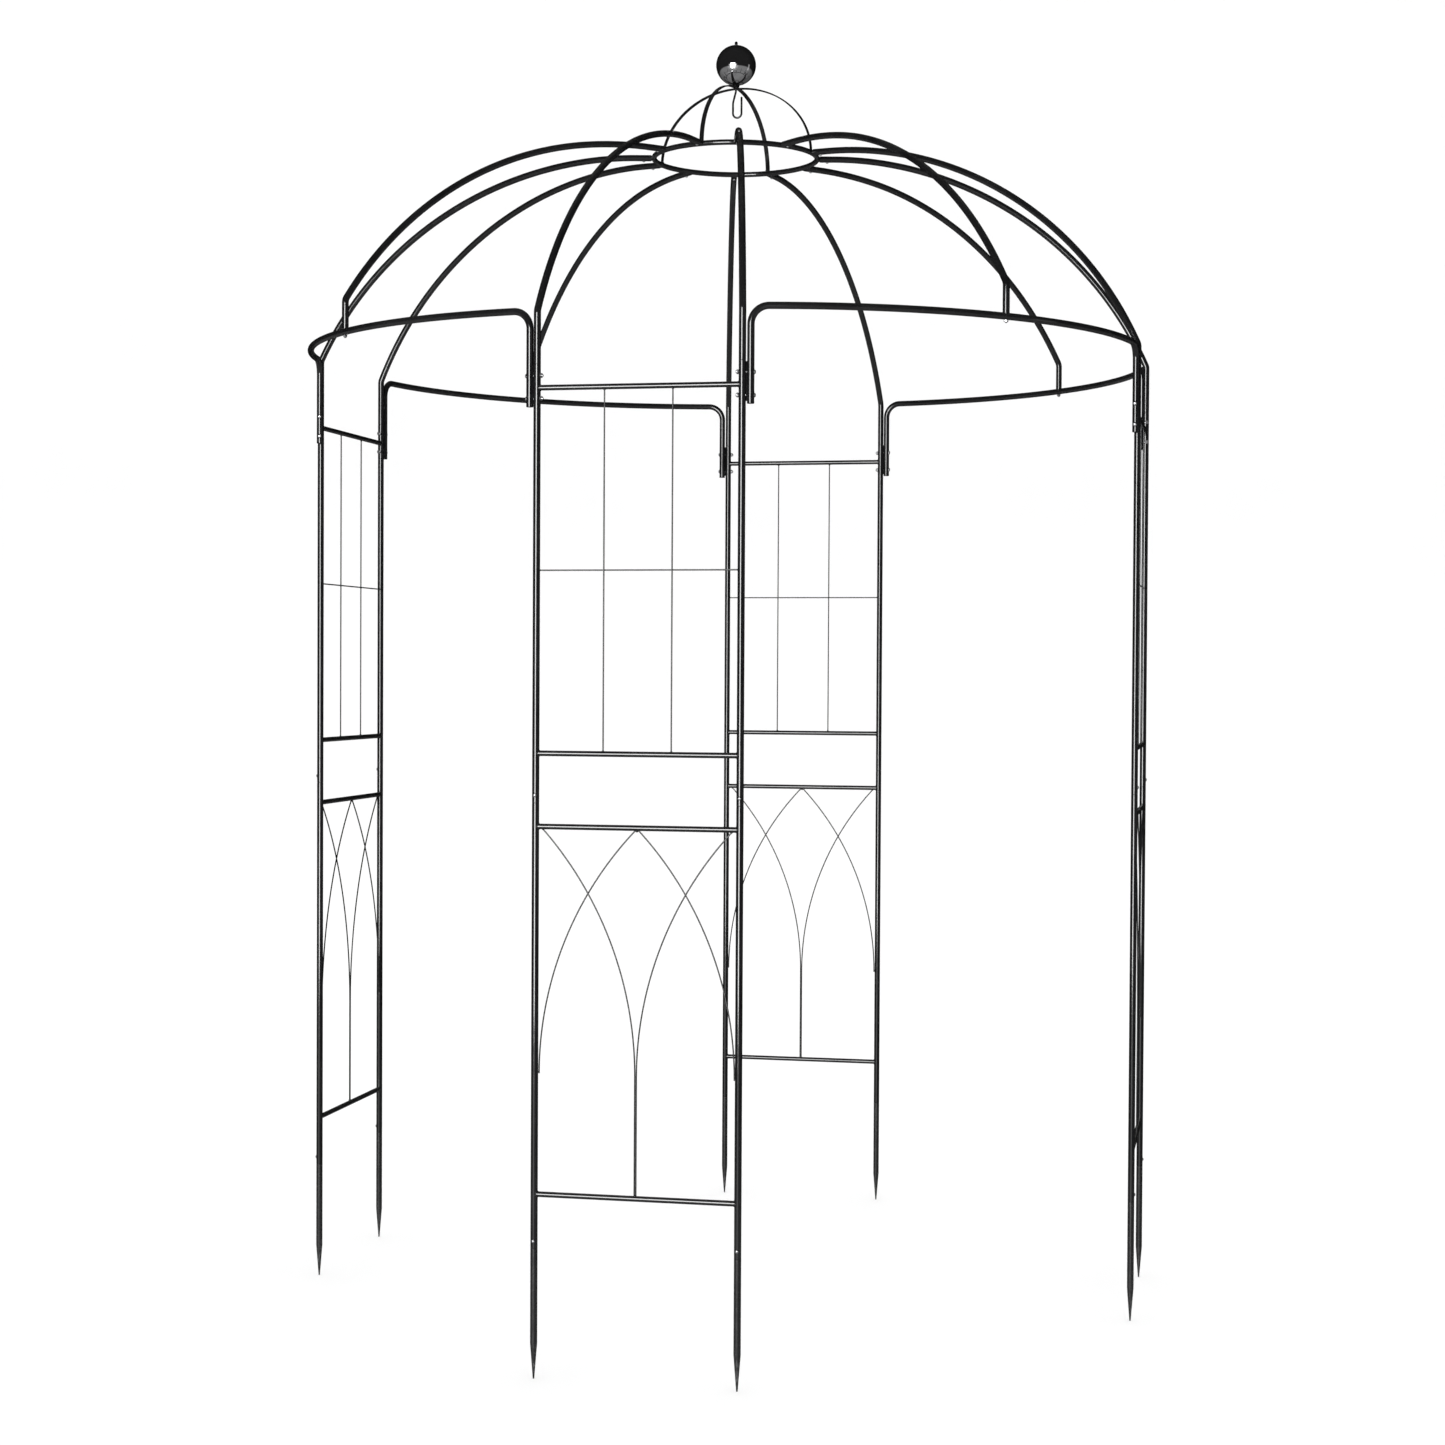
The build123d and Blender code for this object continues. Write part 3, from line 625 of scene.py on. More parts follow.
def upper_wires():
    beside = WIRE_R + CLEARANCE
    low = SECOND_RUNG_Z + RUNG_R - WIRE_R / 2
    high = TOP_RUNG_Z - RUNG_R + WIRE_R / 2
    reach = PANEL_HALF - TUBE_R + WIRE_R / 2
    rung_tack, post_tack, crossing_tack = 0.0023, 0.0022, 0.0020
    for panel, angle in PANELS.items():
        mesh, welds = Mesh(), Mesh()
        for side in SIDES.values():
            x = side * PANEL_HALF / 3
            ends = [panel_point(angle, x, z, beside) for z in (low, high)]
            bar(mesh, straight(*ends, 5), WIRE_R, WIRE_SIDES)
            for z in (low + 0.001, high - 0.001):
                weld_blob(welds, panel_point(angle, x, z, beside), rung_tack)
            wire_end = panel_point(angle, side * (reach - 0.001), CROSS_WIRE_Z, -beside)
            weld_blob(welds, wire_end, post_tack)
            weld_blob(welds, panel_point(angle, x, CROSS_WIRE_Z, 0), crossing_tack)
        ends = [panel_point(angle, side * reach, CROSS_WIRE_Z, -beside) for side in (-1, 1)]
        bar(mesh, straight(*ends, 5), WIRE_R, WIRE_SIDES)
        node = f"upper_trellis_wires_{panel}"
        mesh.finish(f"{node}_bars", "frame", "wire_coat", (node,))
        welds.finish(f"{node}_welds", "frame", "wire_coat", sharp=60)


# ---------------------------------------------------------------- ribs
class Pen:
    """Draws a rib's centre line in its upright plane, as (r, z) points."""

    def __init__(self, r, z):
        self.points = [(r, z)]
        self.lean = 0.0  # heading, in radians from straight up towards the axis

    def forward(self, length):
        r, z = self.points[-1]
        self.points.append((r - length * math.sin(self.lean), z + length * math.cos(self.lean)))

    def bend(self, radius, degrees, count):
        r, z = self.points[-1]
        centre = (r - radius * math.cos(self.lean), z - radius * math.sin(self.lean))
        for i in range(1, count + 1):
            lean = self.lean + math.radians(degrees) * i / count
            point = (centre[0] + radius * math.cos(lean), centre[1] + radius * math.sin(lean))
            self.points.append(point)
        self.lean += math.radians(degrees)


def rib_line(start_r, start_z, kink_z, kink_angle):
    """Rib's centre line; its two arcs' radii are solved so that it meets the crown ring."""
    lean = math.radians(kink_angle)
    turn = math.radians(CROWN_TURN)
    bend_run = KINK_BEND_R * math.tan(lean / 2)
    inward = start_r - bend_run * math.sin(lean) - RIB_STRAIGHT_R
    upward = CROWN_Z - kink_z - bend_run * math.cos(lean)
    shoulder_in = math.cos(lean) - math.sin(turn)
    shoulder_up = math.cos(turn) - math.sin(lean)
    crown_in = math.sin(turn)
    crown_up = 1 - math.cos(turn)
    scale = shoulder_in * crown_up - crown_in * shoulder_up
    shoulder_r = (inward * crown_up - crown_in * upward) / scale
    crown_r = (shoulder_in * upward - shoulder_up * inward) / scale
    pen = Pen(start_r, start_z)
    half_foot = (kink_z - bend_run - start_z) / 2
    pen.forward(half_foot)
    pen.forward(half_foot)
    pen.bend(KINK_BEND_R, kink_angle, 8)
    pen.bend(shoulder_r, 90 - kink_angle - CROWN_TURN, 60)
    pen.bend(crown_r, CROWN_TURN, 10)
    pen.forward(RIB_STRAIGHT_R - RIB_END_R)
    return pen.points


def rib_points(direction, start_r, start_z, kink_z, kink_angle):
    line = rib_line(start_r, start_z, kink_z, kink_angle)
    return [turned(r, 0, z, direction) for r, z in line]


def direction_of(vector):
    return math.degrees(math.atan2(vector.y, vector.x))


def dome_ribs():
    for name, angle, side in all_posts():
        direction = direction_of(post_outward(angle, side))
        mesh = Mesh()
        start_z = RIB_SEAM + 2 * CLEARANCE
        open_tube(mesh, rib_points(direction, POST_CIRCLE_R, start_z, KINK_Z, KINK_ANGLE))
        plug = [(PLUG_R - LIP, -PLUG_LENGTH), (PLUG_R, 0.001 - PLUG_LENGTH), (PLUG_R, 0.01)]
        lathe(mesh, plug, post_point(angle, side, RIB_SEAM))
        node = f"dome_rib_{name}"
        mesh.finish(f"{node}_tube", "frame", "powder_coat", (node,))


def middle_ribs():
    for name, direction in DOORWAYS.items():
        start_z = ARCH_Z + TUBE_R * 0.75
        mesh, weld = Mesh(), Mesh()
        bar(mesh, rib_points(direction, ARCH_BULGE_R, start_z, MIDDLE_KINK_Z, MIDDLE_KINK_ANGLE), TUBE_R)
        saddle_bead(weld, direction)
        node = f"middle_rib_{name}"
        mesh.finish(f"{node}_tube", "frame", "powder_coat", (node,))
        weld.finish(f"{node}_foot", "frame", "powder_coat", sharp=60)


def saddle_bead(mesh, direction):
    """Thin collar where a middle rib's foot sits on the arch."""
    centre = turned(ARCH_BULGE_R, 0, ARCH_Z, direction)
    outward, along = turned(1, 0, 0, direction), turned(0, 1, 0, direction)
    bead_r = 0.0007
    steps = 44
    loop = []
    for i in range(steps):
        turn = 2 * math.pi * i / steps
        off = TUBE_R * 0.985 * math.cos(turn)
        rise = math.sqrt(TUBE_R**2 - off**2)
        loop.append(centre + outward * off + along * (TUBE_R * math.sin(turn)) + Vector((0, 0, rise)))
    rings = [circle(p, a, b, bead_r, 8) for p, _, a, b in transport(loop, closed=True)]
    mesh.rings(rings, closed=True)


# ---------------------------------------------------------------- door arches
def arch_points(middle):
    """Centre line of a door arch: leg, bend, bow across the doorway, bend, leg."""
    half_turn = math.degrees(math.atan2(PANEL_OFFSET, PANEL_HALF)) - 45
    leg_turn = math.radians(half_turn - math.degrees(math.asin(LEG_STEP / POST_CIRCLE_R)))
    leg_r = math.hypot(POST_CIRCLE_R, LEG_STEP)
    reach, spread = leg_r * math.cos(leg_turn), leg_r * math.sin(leg_turn)
    square = reach**2 + spread**2 - ARCH_BULGE_R**2 - ARCH_BEND_R**2
    bow_centre = square / (2 * (reach - ARCH_BULGE_R))
    bow_r = ARCH_BULGE_R - bow_centre
    bow_half = math.atan2(spread, reach - bow_centre) - math.atan2(ARCH_BEND_R, bow_r)
    heading = Vector((math.sin(bow_half), math.cos(bow_half), 0))
    leg = Vector((reach, -spread, 0))
    leg_rise = ARCH_Z - ARCH_BEND_R - LEG_END_Z
    half = [leg + Vector((0, 0, LEG_END_Z + leg_rise * i / 3)) for i in range(4)]
    for i in range(1, 15):
        turn = math.pi / 2 * i / 14
        out = ARCH_BEND_R * (1 - math.cos(turn))
        half.append(leg + heading * out + Vector((0, 0, ARCH_Z - ARCH_BEND_R * (1 - math.sin(turn)))))
    for i in range(1, 46):
        turn = -bow_half * (1 - i / 45)
        half.append(Vector((bow_centre + bow_r * math.cos(turn), bow_r * math.sin(turn), ARCH_Z)))
    mirrored = [Vector((p.x, -p.y, p.z)) for p in reversed(half[:-1])]
    return [turned(*p, middle) for p in half + mirrored]


def door_arches():
    for name, middle in DOORWAYS.items():
        mesh = Mesh()
        open_tube(mesh, arch_points(middle))
        node = f"door_arch_{name}"
        mesh.finish(f"{node}_tube", "frame", "powder_coat", (node,))


def leg_spacers():
    """Plate between each post and the arch leg beside it, with softened edges."""
    half_width, cut = 0.0045, 0.001
    mesh = Mesh()
    for _, angle, side in all_posts():
        along, outward = post_to_leg(angle, side), post_outward(angle, side)
        middle = post_point(angle, side, (SPACER_BOTTOM_Z + SPACER_TOP_Z) / 2) + along * (LEG_STEP / 2)
        half_height = (SPACER_TOP_Z - SPACER_BOTTOM_Z) / 2
        half_thick = LEG_GAP / 2 - CLEARANCE
        rings = []
        for offset, inset in ((-1, 0.0003), (-0.7, 0.0), (0.7, 0.0), (1, 0.0003)):
            w, h = half_width - inset, half_height - inset
            corners = [(-w, -h + cut), (-w + cut, -h), (w - cut, -h), (w, -h + cut)]
            corners += [(w, h - cut), (w - cut, h), (-w + cut, h), (-w, h - cut)]
            at = middle + along * (half_thick * offset)
            rings.append([at + outward * u + Vector((0, 0, v)) for u, v in corners])
        mesh.rings(rings)
    mesh.finish("arch_leg_spacer_plates", "frame", "powder_coat", ("arch_leg_spacers",))


# ---------------------------------------------------------------- crown
def rib_directions():
    posts = [direction_of(post_outward(angle, side)) for _, angle, side in all_posts()]
    return posts + list(DOORWAYS.values())


def crown_ring():
    bead_r = 0.0009
    steps = 144
    mesh = Mesh()
    rings = []
    for i in range(steps):
        angle = 360 * i / steps
        centre = turned(CROWN_R, 0, CROWN_Z, angle)
        rings.append(circle(centre, turned(1, 0, 0, angle), Vector((0, 0, 1)), CROWN_TUBE_R, 24))
    mesh.rings(rings, closed=True)
    for direction in rib_directions():
        start = turned(CROWN_R, 0, CROWN_Z, direction)
        outward = turned(1, 0, 0, direction)
        bar(mesh, straight(start, start + outward * (CROWN_TUBE_R + SPIGOT_LENGTH), 3), PLUG_R, 20)
        loop = []
        for i in range(36):
            turn = 2 * math.pi * i / 36
            rise = (CROWN_TUBE_R - 0.0004) * math.sin(turn)
            reach = math.sqrt(CROWN_TUBE_R**2 - rise**2)
            sideways = turned(0, 1, 0, direction) * (PLUG_R * math.cos(turn))
            loop.append(start + outward * reach + sideways + Vector((0, 0, rise)))
        rings = [circle(p, a, b, bead_r, 8) for p, _, a, b in transport(loop, closed=True)]
        mesh.rings(rings, closed=True)
    mesh.finish("crown_ring_tube", "frame", "powder_coat", ("crown_ring",))


def crown_hoops():
    """Flat bars bent to half ellipses, with rounded edges and welded feet."""
    half_w, half_t, soft = HOOP_WIDTH / 2, HOOP_THICKNESS / 2, 0.0007
    tack, tack_gap = 0.0021, 0.0035
    section = [
        (-half_w + soft, -half_t), (half_w - soft, -half_t), (half_w, -half_t + soft),
        (half_w, half_t - soft), (half_w - soft, half_t), (-half_w + soft, half_t),
        (-half_w, half_t - soft), (-half_w, -half_t + soft),
    ]
    for number, (angle, apex) in enumerate(zip(HOOP_ANGLES, HOOP_APEX_Z), start=1):
        rise = apex - CROWN_Z
        sideways = turned(0, 1, 0, angle)
        foot = math.asin((CROWN_TUBE_R - 0.0005) / rise)
        mesh, welds = Mesh(), Mesh()
        rings = []
        for i in range(97):
            turn = foot + (math.pi - 2 * foot) * i / 96
            centre = turned(CROWN_R * math.cos(turn), 0, CROWN_Z + rise * math.sin(turn), angle)
            normal = turned(rise * math.cos(turn), 0, CROWN_R * math.sin(turn), angle).normalized()
            rings.append([centre + sideways * u + normal * v for u, v in section])
        mesh.rings(rings)
        for sign in (-1, 1):
            for u in (-tack_gap, 0.0, tack_gap):
                at = turned(sign * (CROWN_R - 0.0012), 0, CROWN_Z + CROWN_TUBE_R, angle)
                weld_blob(welds, at + sideways * u, tack)
        mesh.finish(f"crown_hoop_{number}_bar", "frame", "powder_coat", (f"crown_hoop_{number}",))
        welds.finish(f"crown_hoop_{number}_welds", "frame", "powder_coat", sharp=60)


def hub_washer():
    low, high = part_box("hub_washer")
    outline = [
        (SHANK_HOLE_R, low.z), (COLLAR_R - 0.0004, low.z), (COLLAR_R, low.z + 0.0004),
        (COLLAR_R, high.z - 0.0005), (COLLAR_R - 0.0005, high.z), (SHANK_HOLE_R, high.z),
    ]
    mesh = Mesh()
    lathe(mesh, outline, sides=48)
    mesh.finish("hub_washer_disc", "frame", "powder_coat", ("hub_washer",))


# ---------------------------------------------------------------- ball and hook
def ball():
    """Polished ball, turned in at its foot round the collar."""
    foot = math.asin(BALL_FOOT_R / BALL_R)
    bottom = BALL_CENTRE_Z - BALL_R
    outline = [(BALL_FOOT_R + 0.0001, bottom + 0.004), (BALL_FOOT_R, bottom + 0.0008)]
    for i in range(97):
        polar = math.pi - foot - (math.pi - foot - BALL_TOP_EDGE) * i / 96
        outline.append((BALL_R * math.sin(polar), BALL_CENTRE_Z + BALL_R * math.cos(polar)))
    mesh = Mesh()
    lathe(mesh, outline, sides=128)
    mesh.finish("gazing_ball_shell", "hook", "black_mirror", ("gazing_ball",), sharp=50)


def ball_collar():
    low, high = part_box("ball_collar")
    neck_r = BALL_FOOT_R - 0.0001
    outline = [
        (SHANK_HOLE_R, low.z), (COLLAR_R - 0.0004, low.z), (COLLAR_R, low.z + 0.0004),
        (COLLAR_R, low.z + 0.0014), (COLLAR_R - 0.0003, low.z + 0.0017),
        (neck_r, low.z + 0.0017), (neck_r, high.z), (SHANK_HOLE_R, high.z),
    ]
    mesh = Mesh()
    lathe(mesh, outline, sides=48)
    mesh.finish("ball_collar_turned", "hook", "powder_coat", ("ball_collar",))


def ball_knob():
    low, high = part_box("ball_knob")
    base = BALL_CENTRE_Z + BALL_R
    peg_r = 0.0025
    outline = [(peg_r, low.z), (peg_r, base), (KNOB_R - 0.0001, base), (KNOB_R, base + 0.0003)]
    for i in range(13):
        turn = math.pi / 2 * i / 12
        outline.append((KNOB_R * math.cos(turn), high.z - KNOB_R + KNOB_R * math.sin(turn)))
    mesh = Mesh()
    lathe(mesh, outline, sides=40)
    mesh.finish("ball_knob_turned", "hook", "powder_coat", ("ball_knob",))


def hook():
    """Bent wire hook whose bowl hangs under the hub."""
    low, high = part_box("hanging_hook")
    shank_x = low.x + HOOK_WIRE_R
    far_x = high.x - HOOK_WIRE_R
    bowl_r = (far_x - shank_x) / 2
    bowl_z = low.z + HOOK_WIRE_R + bowl_r
    points = [Vector((0, 0, high.z)), Vector((0, 0, HOOK_STEP_TOP + 0.008))]
    slope = math.atan2(-shank_x, HOOK_STEP_TOP - HOOK_STEP_BOTTOM)
    run = HOOK_BEND_R * math.tan(slope / 2)
    for i in range(11):
        turn = slope * i / 10
        aside, drop = HOOK_BEND_R * (1 - math.cos(turn)), HOOK_BEND_R * math.sin(turn)
        points.append(Vector((-aside, 0, HOOK_STEP_TOP + run - drop)))
    for i in range(11):
        turn = slope * (1 - i / 10)
        aside, rise = HOOK_BEND_R * (1 - math.cos(turn)), HOOK_BEND_R * math.sin(turn)
        points.append(Vector((shank_x + aside, 0, HOOK_STEP_BOTTOM - run + rise)))
    points.append(Vector((shank_x, 0, bowl_z + 0.005)))
    centre_x = (shank_x + far_x) / 2
    for i in range(25):
        turn = math.pi * i / 24
        reach, sag = bowl_r * math.cos(turn), bowl_r * math.sin(turn)
        points.append(Vector((centre_x - reach, 0, bowl_z - sag)))
    points += [Vector((far_x, 0, bowl_z + 0.02)), Vector((far_x, 0, HOOK_TIP_Z))]
    mesh = Mesh()
    bar(mesh, points, HOOK_WIRE_R, 24, soft=0.0009)
    mesh.finish("hanging_hook_wire", "hook", "wire_coat", ("hanging_hook",))


# ---------------------------------------------------------------- fasteners
SCREW_LENGTH = 0.0052
SCREW_SHANK_R = 0.0017
SCREW_HEAD_R = 0.0035
SCREW_HEAD_HEIGHT = 0.0022
BOLT_LENGTH = 0.0360
BOLT_SHANK_R = 0.0025
BOLT_HEAD_R = 0.0045
BOLT_HEAD_HEIGHT = 0.0030
SOCKET_R = 0.00173
SOCKET_FLOOR = 0.0012
NUT_HALF_FLATS = 0.0040
NUT_HEIGHT = 0.0040
NUT_BORE_R = 0.00255
THREAD_PITCH = 0.0008
THREAD_DEPTH = 0.0003
STUD_SHOWING = 0.0060


def placed(origin, axis, spin=0.0):
    """Matrix that stands a fastener's +Z on axis at origin."""
    a = across(axis)
    b = axis.cross(a)
    stand = Matrix((a, b, axis)).transposed().to_4x4()
    return Matrix.Translation(origin) @ stand @ Matrix.Rotation(spin, 4, "Z")


def recess(head, *cutters):
    """Cuts a driver recess into a gathered head and returns the result."""
    objects = []
    for part in (head, *cutters):
        bmesh.ops.recalc_face_normals(part.bm, faces=part.bm.faces)
        data = bpy.data.meshes.new("scratch")
        part.bm.to_mesh(data)
        thing = bpy.data.objects.new("scratch", data)
        bpy.context.scene.collection.objects.link(thing)
        objects.append(thing)
    for cutter in objects[1:]:
        cut = objects[0].modifiers.new("cut", "BOOLEAN")
        cut.operation = "DIFFERENCE"
        cut.object = cutter
        cut.solver = "EXACT"
    graph = bpy.context.evaluated_depsgraph_get()
    result = Mesh()
    result.bm.from_mesh(objects[0].evaluated_get(graph).to_mesh())
    for thing in objects:
        bpy.data.objects.remove(thing)
    return result


def dome(radius, height, first, count):
    """Outline points of a rounded head, from first degrees above its rim to its top."""
    points = []
    for i in range(count):
        turn = math.radians(first + (90 - first) * i / (count - 1))
        points.append((radius * math.cos(turn), height * math.sin(turn)))
    return points


def oblong(turn, x, y, z):
    """Corners of an oblong round the Z axis; x and y are half its sides."""
    return [turn @ Vector((a * x, b * y, z)) for a, b in ((1, 1), (-1, 1), (-1, -1), (1, -1))]


def pan_screw():
    """Domed screw with a cross recess; its shank runs down from the seat at z = 0."""
    head = Mesh()
    outline = [
        (0.0, -SCREW_LENGTH),
        (SCREW_SHANK_R - 0.0002, -SCREW_LENGTH),
        (SCREW_SHANK_R, 0.0004 - SCREW_LENGTH),
        (SCREW_SHANK_R, 0.0),
        (SCREW_HEAD_R - 0.0002, 0.0),
        (SCREW_HEAD_R, 0.0002),
    ]
    lathe(head, outline + dome(SCREW_HEAD_R, SCREW_HEAD_HEIGHT, 10, 9), sides=32)
    cutters = []
    for spin in (0, 90):
        turn = Matrix.Rotation(math.radians(spin), 3, "Z")
        cutter = Mesh()
        cutter.rings([oblong(turn, 0.0007, 0.00035, 0.0008), oblong(turn, 0.0019, 0.00036, 0.003)])
        cutters.append(cutter)
    return recess(head, *cutters)


def socket_bolt():
    """Button head bolt with a hex socket and a chamfered end."""
    head = Mesh()
    outline = [
        (0.0, -BOLT_LENGTH),
        (BOLT_SHANK_R - 0.0004, -BOLT_LENGTH),
        (BOLT_SHANK_R, 0.0005 - BOLT_LENGTH),
        (BOLT_SHANK_R, 0.0),
        (BOLT_HEAD_R - 0.0002, 0.0),
        (BOLT_HEAD_R, 0.0003),
    ]
    lathe(head, outline + dome(BOLT_HEAD_R, BOLT_HEAD_HEIGHT, 12, 10), sides=36)
    cutter = Mesh()
    cutter.rings([circle(Vector((0, 0, z)), X_AXIS, Y_AXIS, SOCKET_R, 6) for z in (SOCKET_FLOOR, 0.004)])
    return recess(head, cutter)


def hex_nut():
    """Nut 8 mm across flats with chamfered corners."""
    steps = 72
    sixth = math.radians(60)
    corner = NUT_HALF_FLATS / math.cos(sixth / 2)

    def hexagon(limit, z):
        """Hexagon whose corners are turned back to a limit radius."""
        points = []
        for i in range(steps):
            turn = 2 * math.pi * i / steps
            r = min(NUT_HALF_FLATS / math.cos(turn % sixth - sixth / 2), limit)
            points.append(Vector((r * math.cos(turn), r * math.sin(turn), z)))
        return points

    def bore(z):
        return circle(Vector((0, 0, z)), X_AXIS, Y_AXIS, NUT_BORE_R, steps)

    chamfer = 0.0004
    mesh = Mesh()
    rings = [
        bore(0.0),
        hexagon(NUT_HALF_FLATS, 0.0),
        hexagon(corner, chamfer),
        hexagon(corner, NUT_HEIGHT - chamfer),
        hexagon(NUT_HALF_FLATS, NUT_HEIGHT),
        bore(NUT_HEIGHT),
    ]
    mesh.rings(rings, closed=True)
    return mesh


def threaded(radius, start, end):
    """Outline points of the ridges that stand for a thread between two heights."""
    root = radius - THREAD_DEPTH
    outline = [(root, start)]
    z = start + THREAD_PITCH / 2
    while z < end - THREAD_PITCH / 2:
        outline += [(radius, z), (root, z + THREAD_PITCH / 2)]
        z += THREAD_PITCH
    return outline + [(radius - 0.0005, end)]


def fasteners():
    screw, bolt, nut = pan_screw(), socket_bolt(), hex_nut()
    for seam_name, seam in (("stake", STAKE_SEAM), ("middle", MIDDLE_SEAM)):
        mesh = Mesh()
        for k, (_, angle, side) in enumerate(all_posts()):
            normal = panel_normal(angle)
            seat = post_point(angle, side, seam + SCREW_ABOVE_SEAM) + normal * (TUBE_R + CLEARANCE)
            mesh.add(screw, placed(seat, normal, 0.7 * k))
        node = f"{seam_name}_joint_screws"
        mesh.finish(f"{node}_set", "frame", "zinc_fastener", (node,))
    bolts, nuts = Mesh(), Mesh()
    for k, (_, angle, side) in enumerate(all_posts()):
        along = post_to_leg(angle, side)
        for z in LEG_BOLT_HEIGHTS:
            seat = post_point(angle, side, z)
            bolts.add(bolt, placed(seat + along * (LEG_STEP + TUBE_R + CLEARANCE), along, 0.5 * k))
            nuts.add(nut, placed(seat - along * (TUBE_R + CLEARANCE), -along, 0.3 * k + z))
    bolts.finish("arch_leg_bolts_set", "frame", "zinc_fastener", ("arch_leg_bolts",))
    nuts.finish("arch_leg_nuts_set", "frame", "zinc_fastener", ("arch_leg_nuts",))
    studs, stud_nuts, crown = Mesh(), Mesh(), Mesh()
    underside = ARCH_Z - TUBE_R
    for k, direction in enumerate(DOORWAYS.values()):
        foot = turned(ARCH_BULGE_R, 0, 0, direction)
        thread = threaded(BOLT_SHANK_R, underside - STUD_SHOWING, underside + 0.002)
        lathe(studs, thread, foot, sides=24)
        seat = foot + Vector((0, 0, underside - CLEARANCE))
        stud_nuts.add(nut, placed(seat, DOWN, 0.4 * k))
    for k, direction in enumerate(rib_directions()):
        seat = turned(RIB_END_R + SPIGOT_LENGTH / 2, 0, CROWN_Z - TUBE_R - CLEARANCE, direction)
        crown.add(screw, placed(seat, DOWN, 0.6 * k))
    studs.finish("middle_rib_studs_set", "frame", "zinc_fastener", ("middle_rib_studs",))
    stud_nuts.finish("middle_rib_nuts_set", "frame", "zinc_fastener", ("middle_rib_nuts",))
    crown.finish("crown_screws_set", "frame", "zinc_fastener", ("crown_screws",))


# ---------------------------------------------------------------- stage and light
KEY_AZIMUTH = -7.5  # degrees from -Y towards +X
FLOOR_R = 17.0
CURVE_R = 3.0
WALL_TOP = 9.0
LIGHT_DISTANCE = 6.0
LIGHT_HEIGHT = 1.5
LIGHT_TALL = 3.0
LIGHT_AIM_Z = 1.3
WHITE_STRENGTH = 1.13


def floor():
    """Pale floor that curves up into a wall all round.  Reflections see the world in its place."""
    n = Nodes("floor_paint")
    cloud = n.ramp(n.noise(0.8, 3.0), 0.0, 1.0)
    n.link(n.mix(cloud, (0.95, 0.95, 0.95), (0.965, 0.965, 0.965)), n.shader.inputs["Base Color"])
    n.set(Roughness=1.0, Specular_IOR_Level=0.0)
    profile = []
    for i in range(17):
        turn = math.pi / 2 * i / 16
        profile.append((FLOOR_R + CURVE_R * math.sin(turn), CURVE_R * (1 - math.cos(turn))))
    profile.append((FLOOR_R + CURVE_R, WALL_TOP))
    mesh = Mesh()
    rings = [circle(Vector((0, 0, z)), X_AXIS, Y_AXIS, r, 96) for r, z in profile]
    mesh.rings(rings, cap_end=False)
    bmesh.ops.reverse_faces(mesh.bm, faces=mesh.bm.faces)
    data = bpy.data.meshes.new("floor")
    mesh.bm.to_mesh(data)
    mesh.bm.free()
    data.polygons.foreach_set("use_smooth", [True] * len(data.polygons))
    data.materials.append(n.material)
    thing = bpy.data.objects.new("floor", data)
    bpy.context.scene.collection.objects.link(thing)
    thing.visible_glossy = False
    return thing


def softbox(name, azimuth, width, power, unlit):
    """Tall area light aimed at the pavilion, which leaves out the objects of the unlit collection."""
    data = bpy.data.lights.new(name, "AREA")
    data.shape = "RECTANGLE"
    data.size = width
    data.size_y = LIGHT_TALL
    data.energy = power
    light = bpy.data.objects.new(name, data)
    bpy.context.scene.collection.objects.link(light)
    turn = math.radians(azimuth)
    at = Vector((LIGHT_DISTANCE * math.sin(turn), -LIGHT_DISTANCE * math.cos(turn), LIGHT_HEIGHT))
    aim = Vector((0, 0, LIGHT_AIM_Z)) - at
    light.matrix_world = Matrix.Translation(at) @ aim.to_track_quat("-Z", "Y").to_matrix().to_4x4()
    light.visible_camera = False
    light.light_linking.receiver_collection = unlit


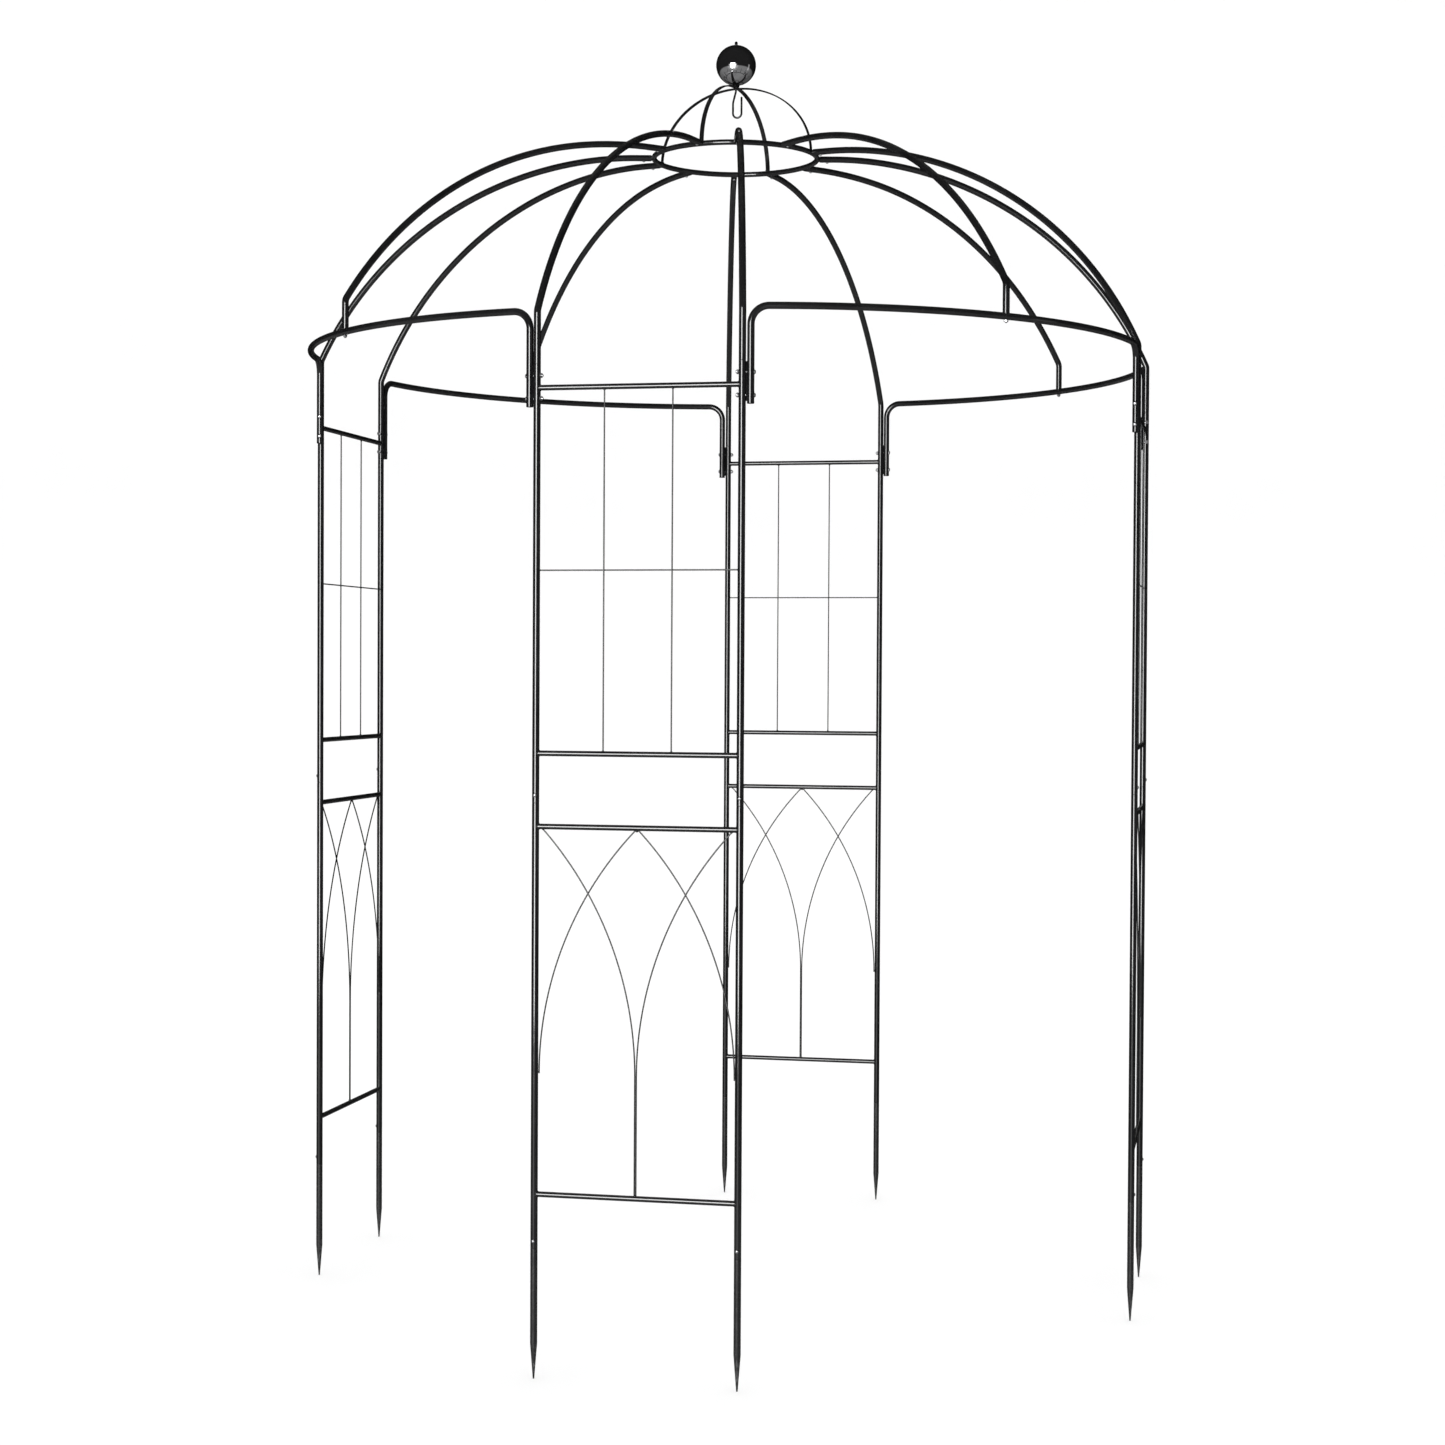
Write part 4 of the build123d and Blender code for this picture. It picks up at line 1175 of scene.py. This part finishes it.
def world():
    """White studio for the camera and for fill.  Reflections see a dark room with a pale floor."""
    scene_world = bpy.data.worlds.new("studio")
    scene_world.use_nodes = True
    bpy.context.scene.world = scene_world
    tree = scene_world.node_tree

    def node(kind, operation=None, **inputs):
        made = tree.nodes.new(kind)
        if operation:
            made.operation = operation
        for key, value in inputs.items():
            numbered = key[0] == "i" and key[1:].isdigit()
            socket = made.inputs[int(key[1:]) if numbered else key]
            if isinstance(value, bpy.types.NodeSocket):
                tree.links.new(value, socket)
            else:
                socket.default_value = value
        return made

    def span(value, start, end, low, high):
        made = node("ShaderNodeMapRange", Value=value)
        for key, number in (("From Min", start), ("From Max", end), ("To Min", low), ("To Max", high)):
            made.inputs[key].default_value = number
        return made.outputs["Result"]

    way = node("ShaderNodeTexCoord").outputs["Generated"]
    rise = node("ShaderNodeSeparateXYZ", i0=way).outputs["Z"]
    front = node("ShaderNodeVectorMath", "DOT_PRODUCT", i0=way, i1=(0.0, -1.0, 0.0)).outputs["Value"]
    key_way = turned(0, -1, 0, KEY_AZIMUTH)
    near_key = node("ShaderNodeVectorMath", "DOT_PRODUCT", i0=way, i1=key_way).outputs["Value"]

    def product(a, b):
        return node("ShaderNodeMath", "MULTIPLY", i0=a, i1=b).outputs["Value"]

    def total(a, b):
        return node("ShaderNodeMath", "ADD", i0=a, i1=b).outputs["Value"]

    # a pool of lit floor towards the key light, its spill nearer by, and the rest of the ground
    pool = product(span(near_key, 0.90, 0.97, 0.0, 3.0), span(rise, -0.27, -0.12, 0.0, 1.0))
    pool = product(pool, span(rise, -0.10, -0.02, 1.0, 0.0))
    spill = product(span(near_key, 0.78, 0.98, 0.0, 1.0), span(rise, -0.16, -0.26, 0.0, 1.0))
    ground = product(span(rise, -0.16, -0.24, 0.03, 0.42), span(front, -0.85, 0.1, 0.35, 1.0))
    seen = total(total(pool, spill), ground)
    reflected = node("ShaderNodeBackground", Strength=seen)
    white = tree.nodes["Background"]
    white.inputs["Color"].default_value = (1.0, 1.0, 1.0, 1.0)
    white.inputs["Strength"].default_value = WHITE_STRENGTH
    rays = node("ShaderNodeLightPath")
    mix = node("ShaderNodeMixShader", Fac=rays.outputs["Is Glossy Ray"])
    tree.links.new(white.outputs["Background"], mix.inputs[1])
    tree.links.new(reflected.outputs["Background"], mix.inputs[2])
    tree.links.new(mix.outputs["Shader"], tree.nodes["World Output"].inputs["Surface"])


stakes()
lower_frames()
lower_wires()
upper_frames()
upper_wires()
dome_ribs()
middle_ribs()
door_arches()
leg_spacers()
crown_ring()
crown_hoops()
hub_washer()
ball()
ball_collar()
ball_knob()
hook()
fasteners()
world()
unlit = bpy.data.collections.new("unlit")
unlit.objects.link(floor())
unlit.collection_objects[0].light_linking.link_state = "EXCLUDE"
softbox("key", KEY_AZIMUTH, width=2.4, power=480, unlit=unlit)
softbox("side", azimuth=92, width=1.0, power=4, unlit=unlit)
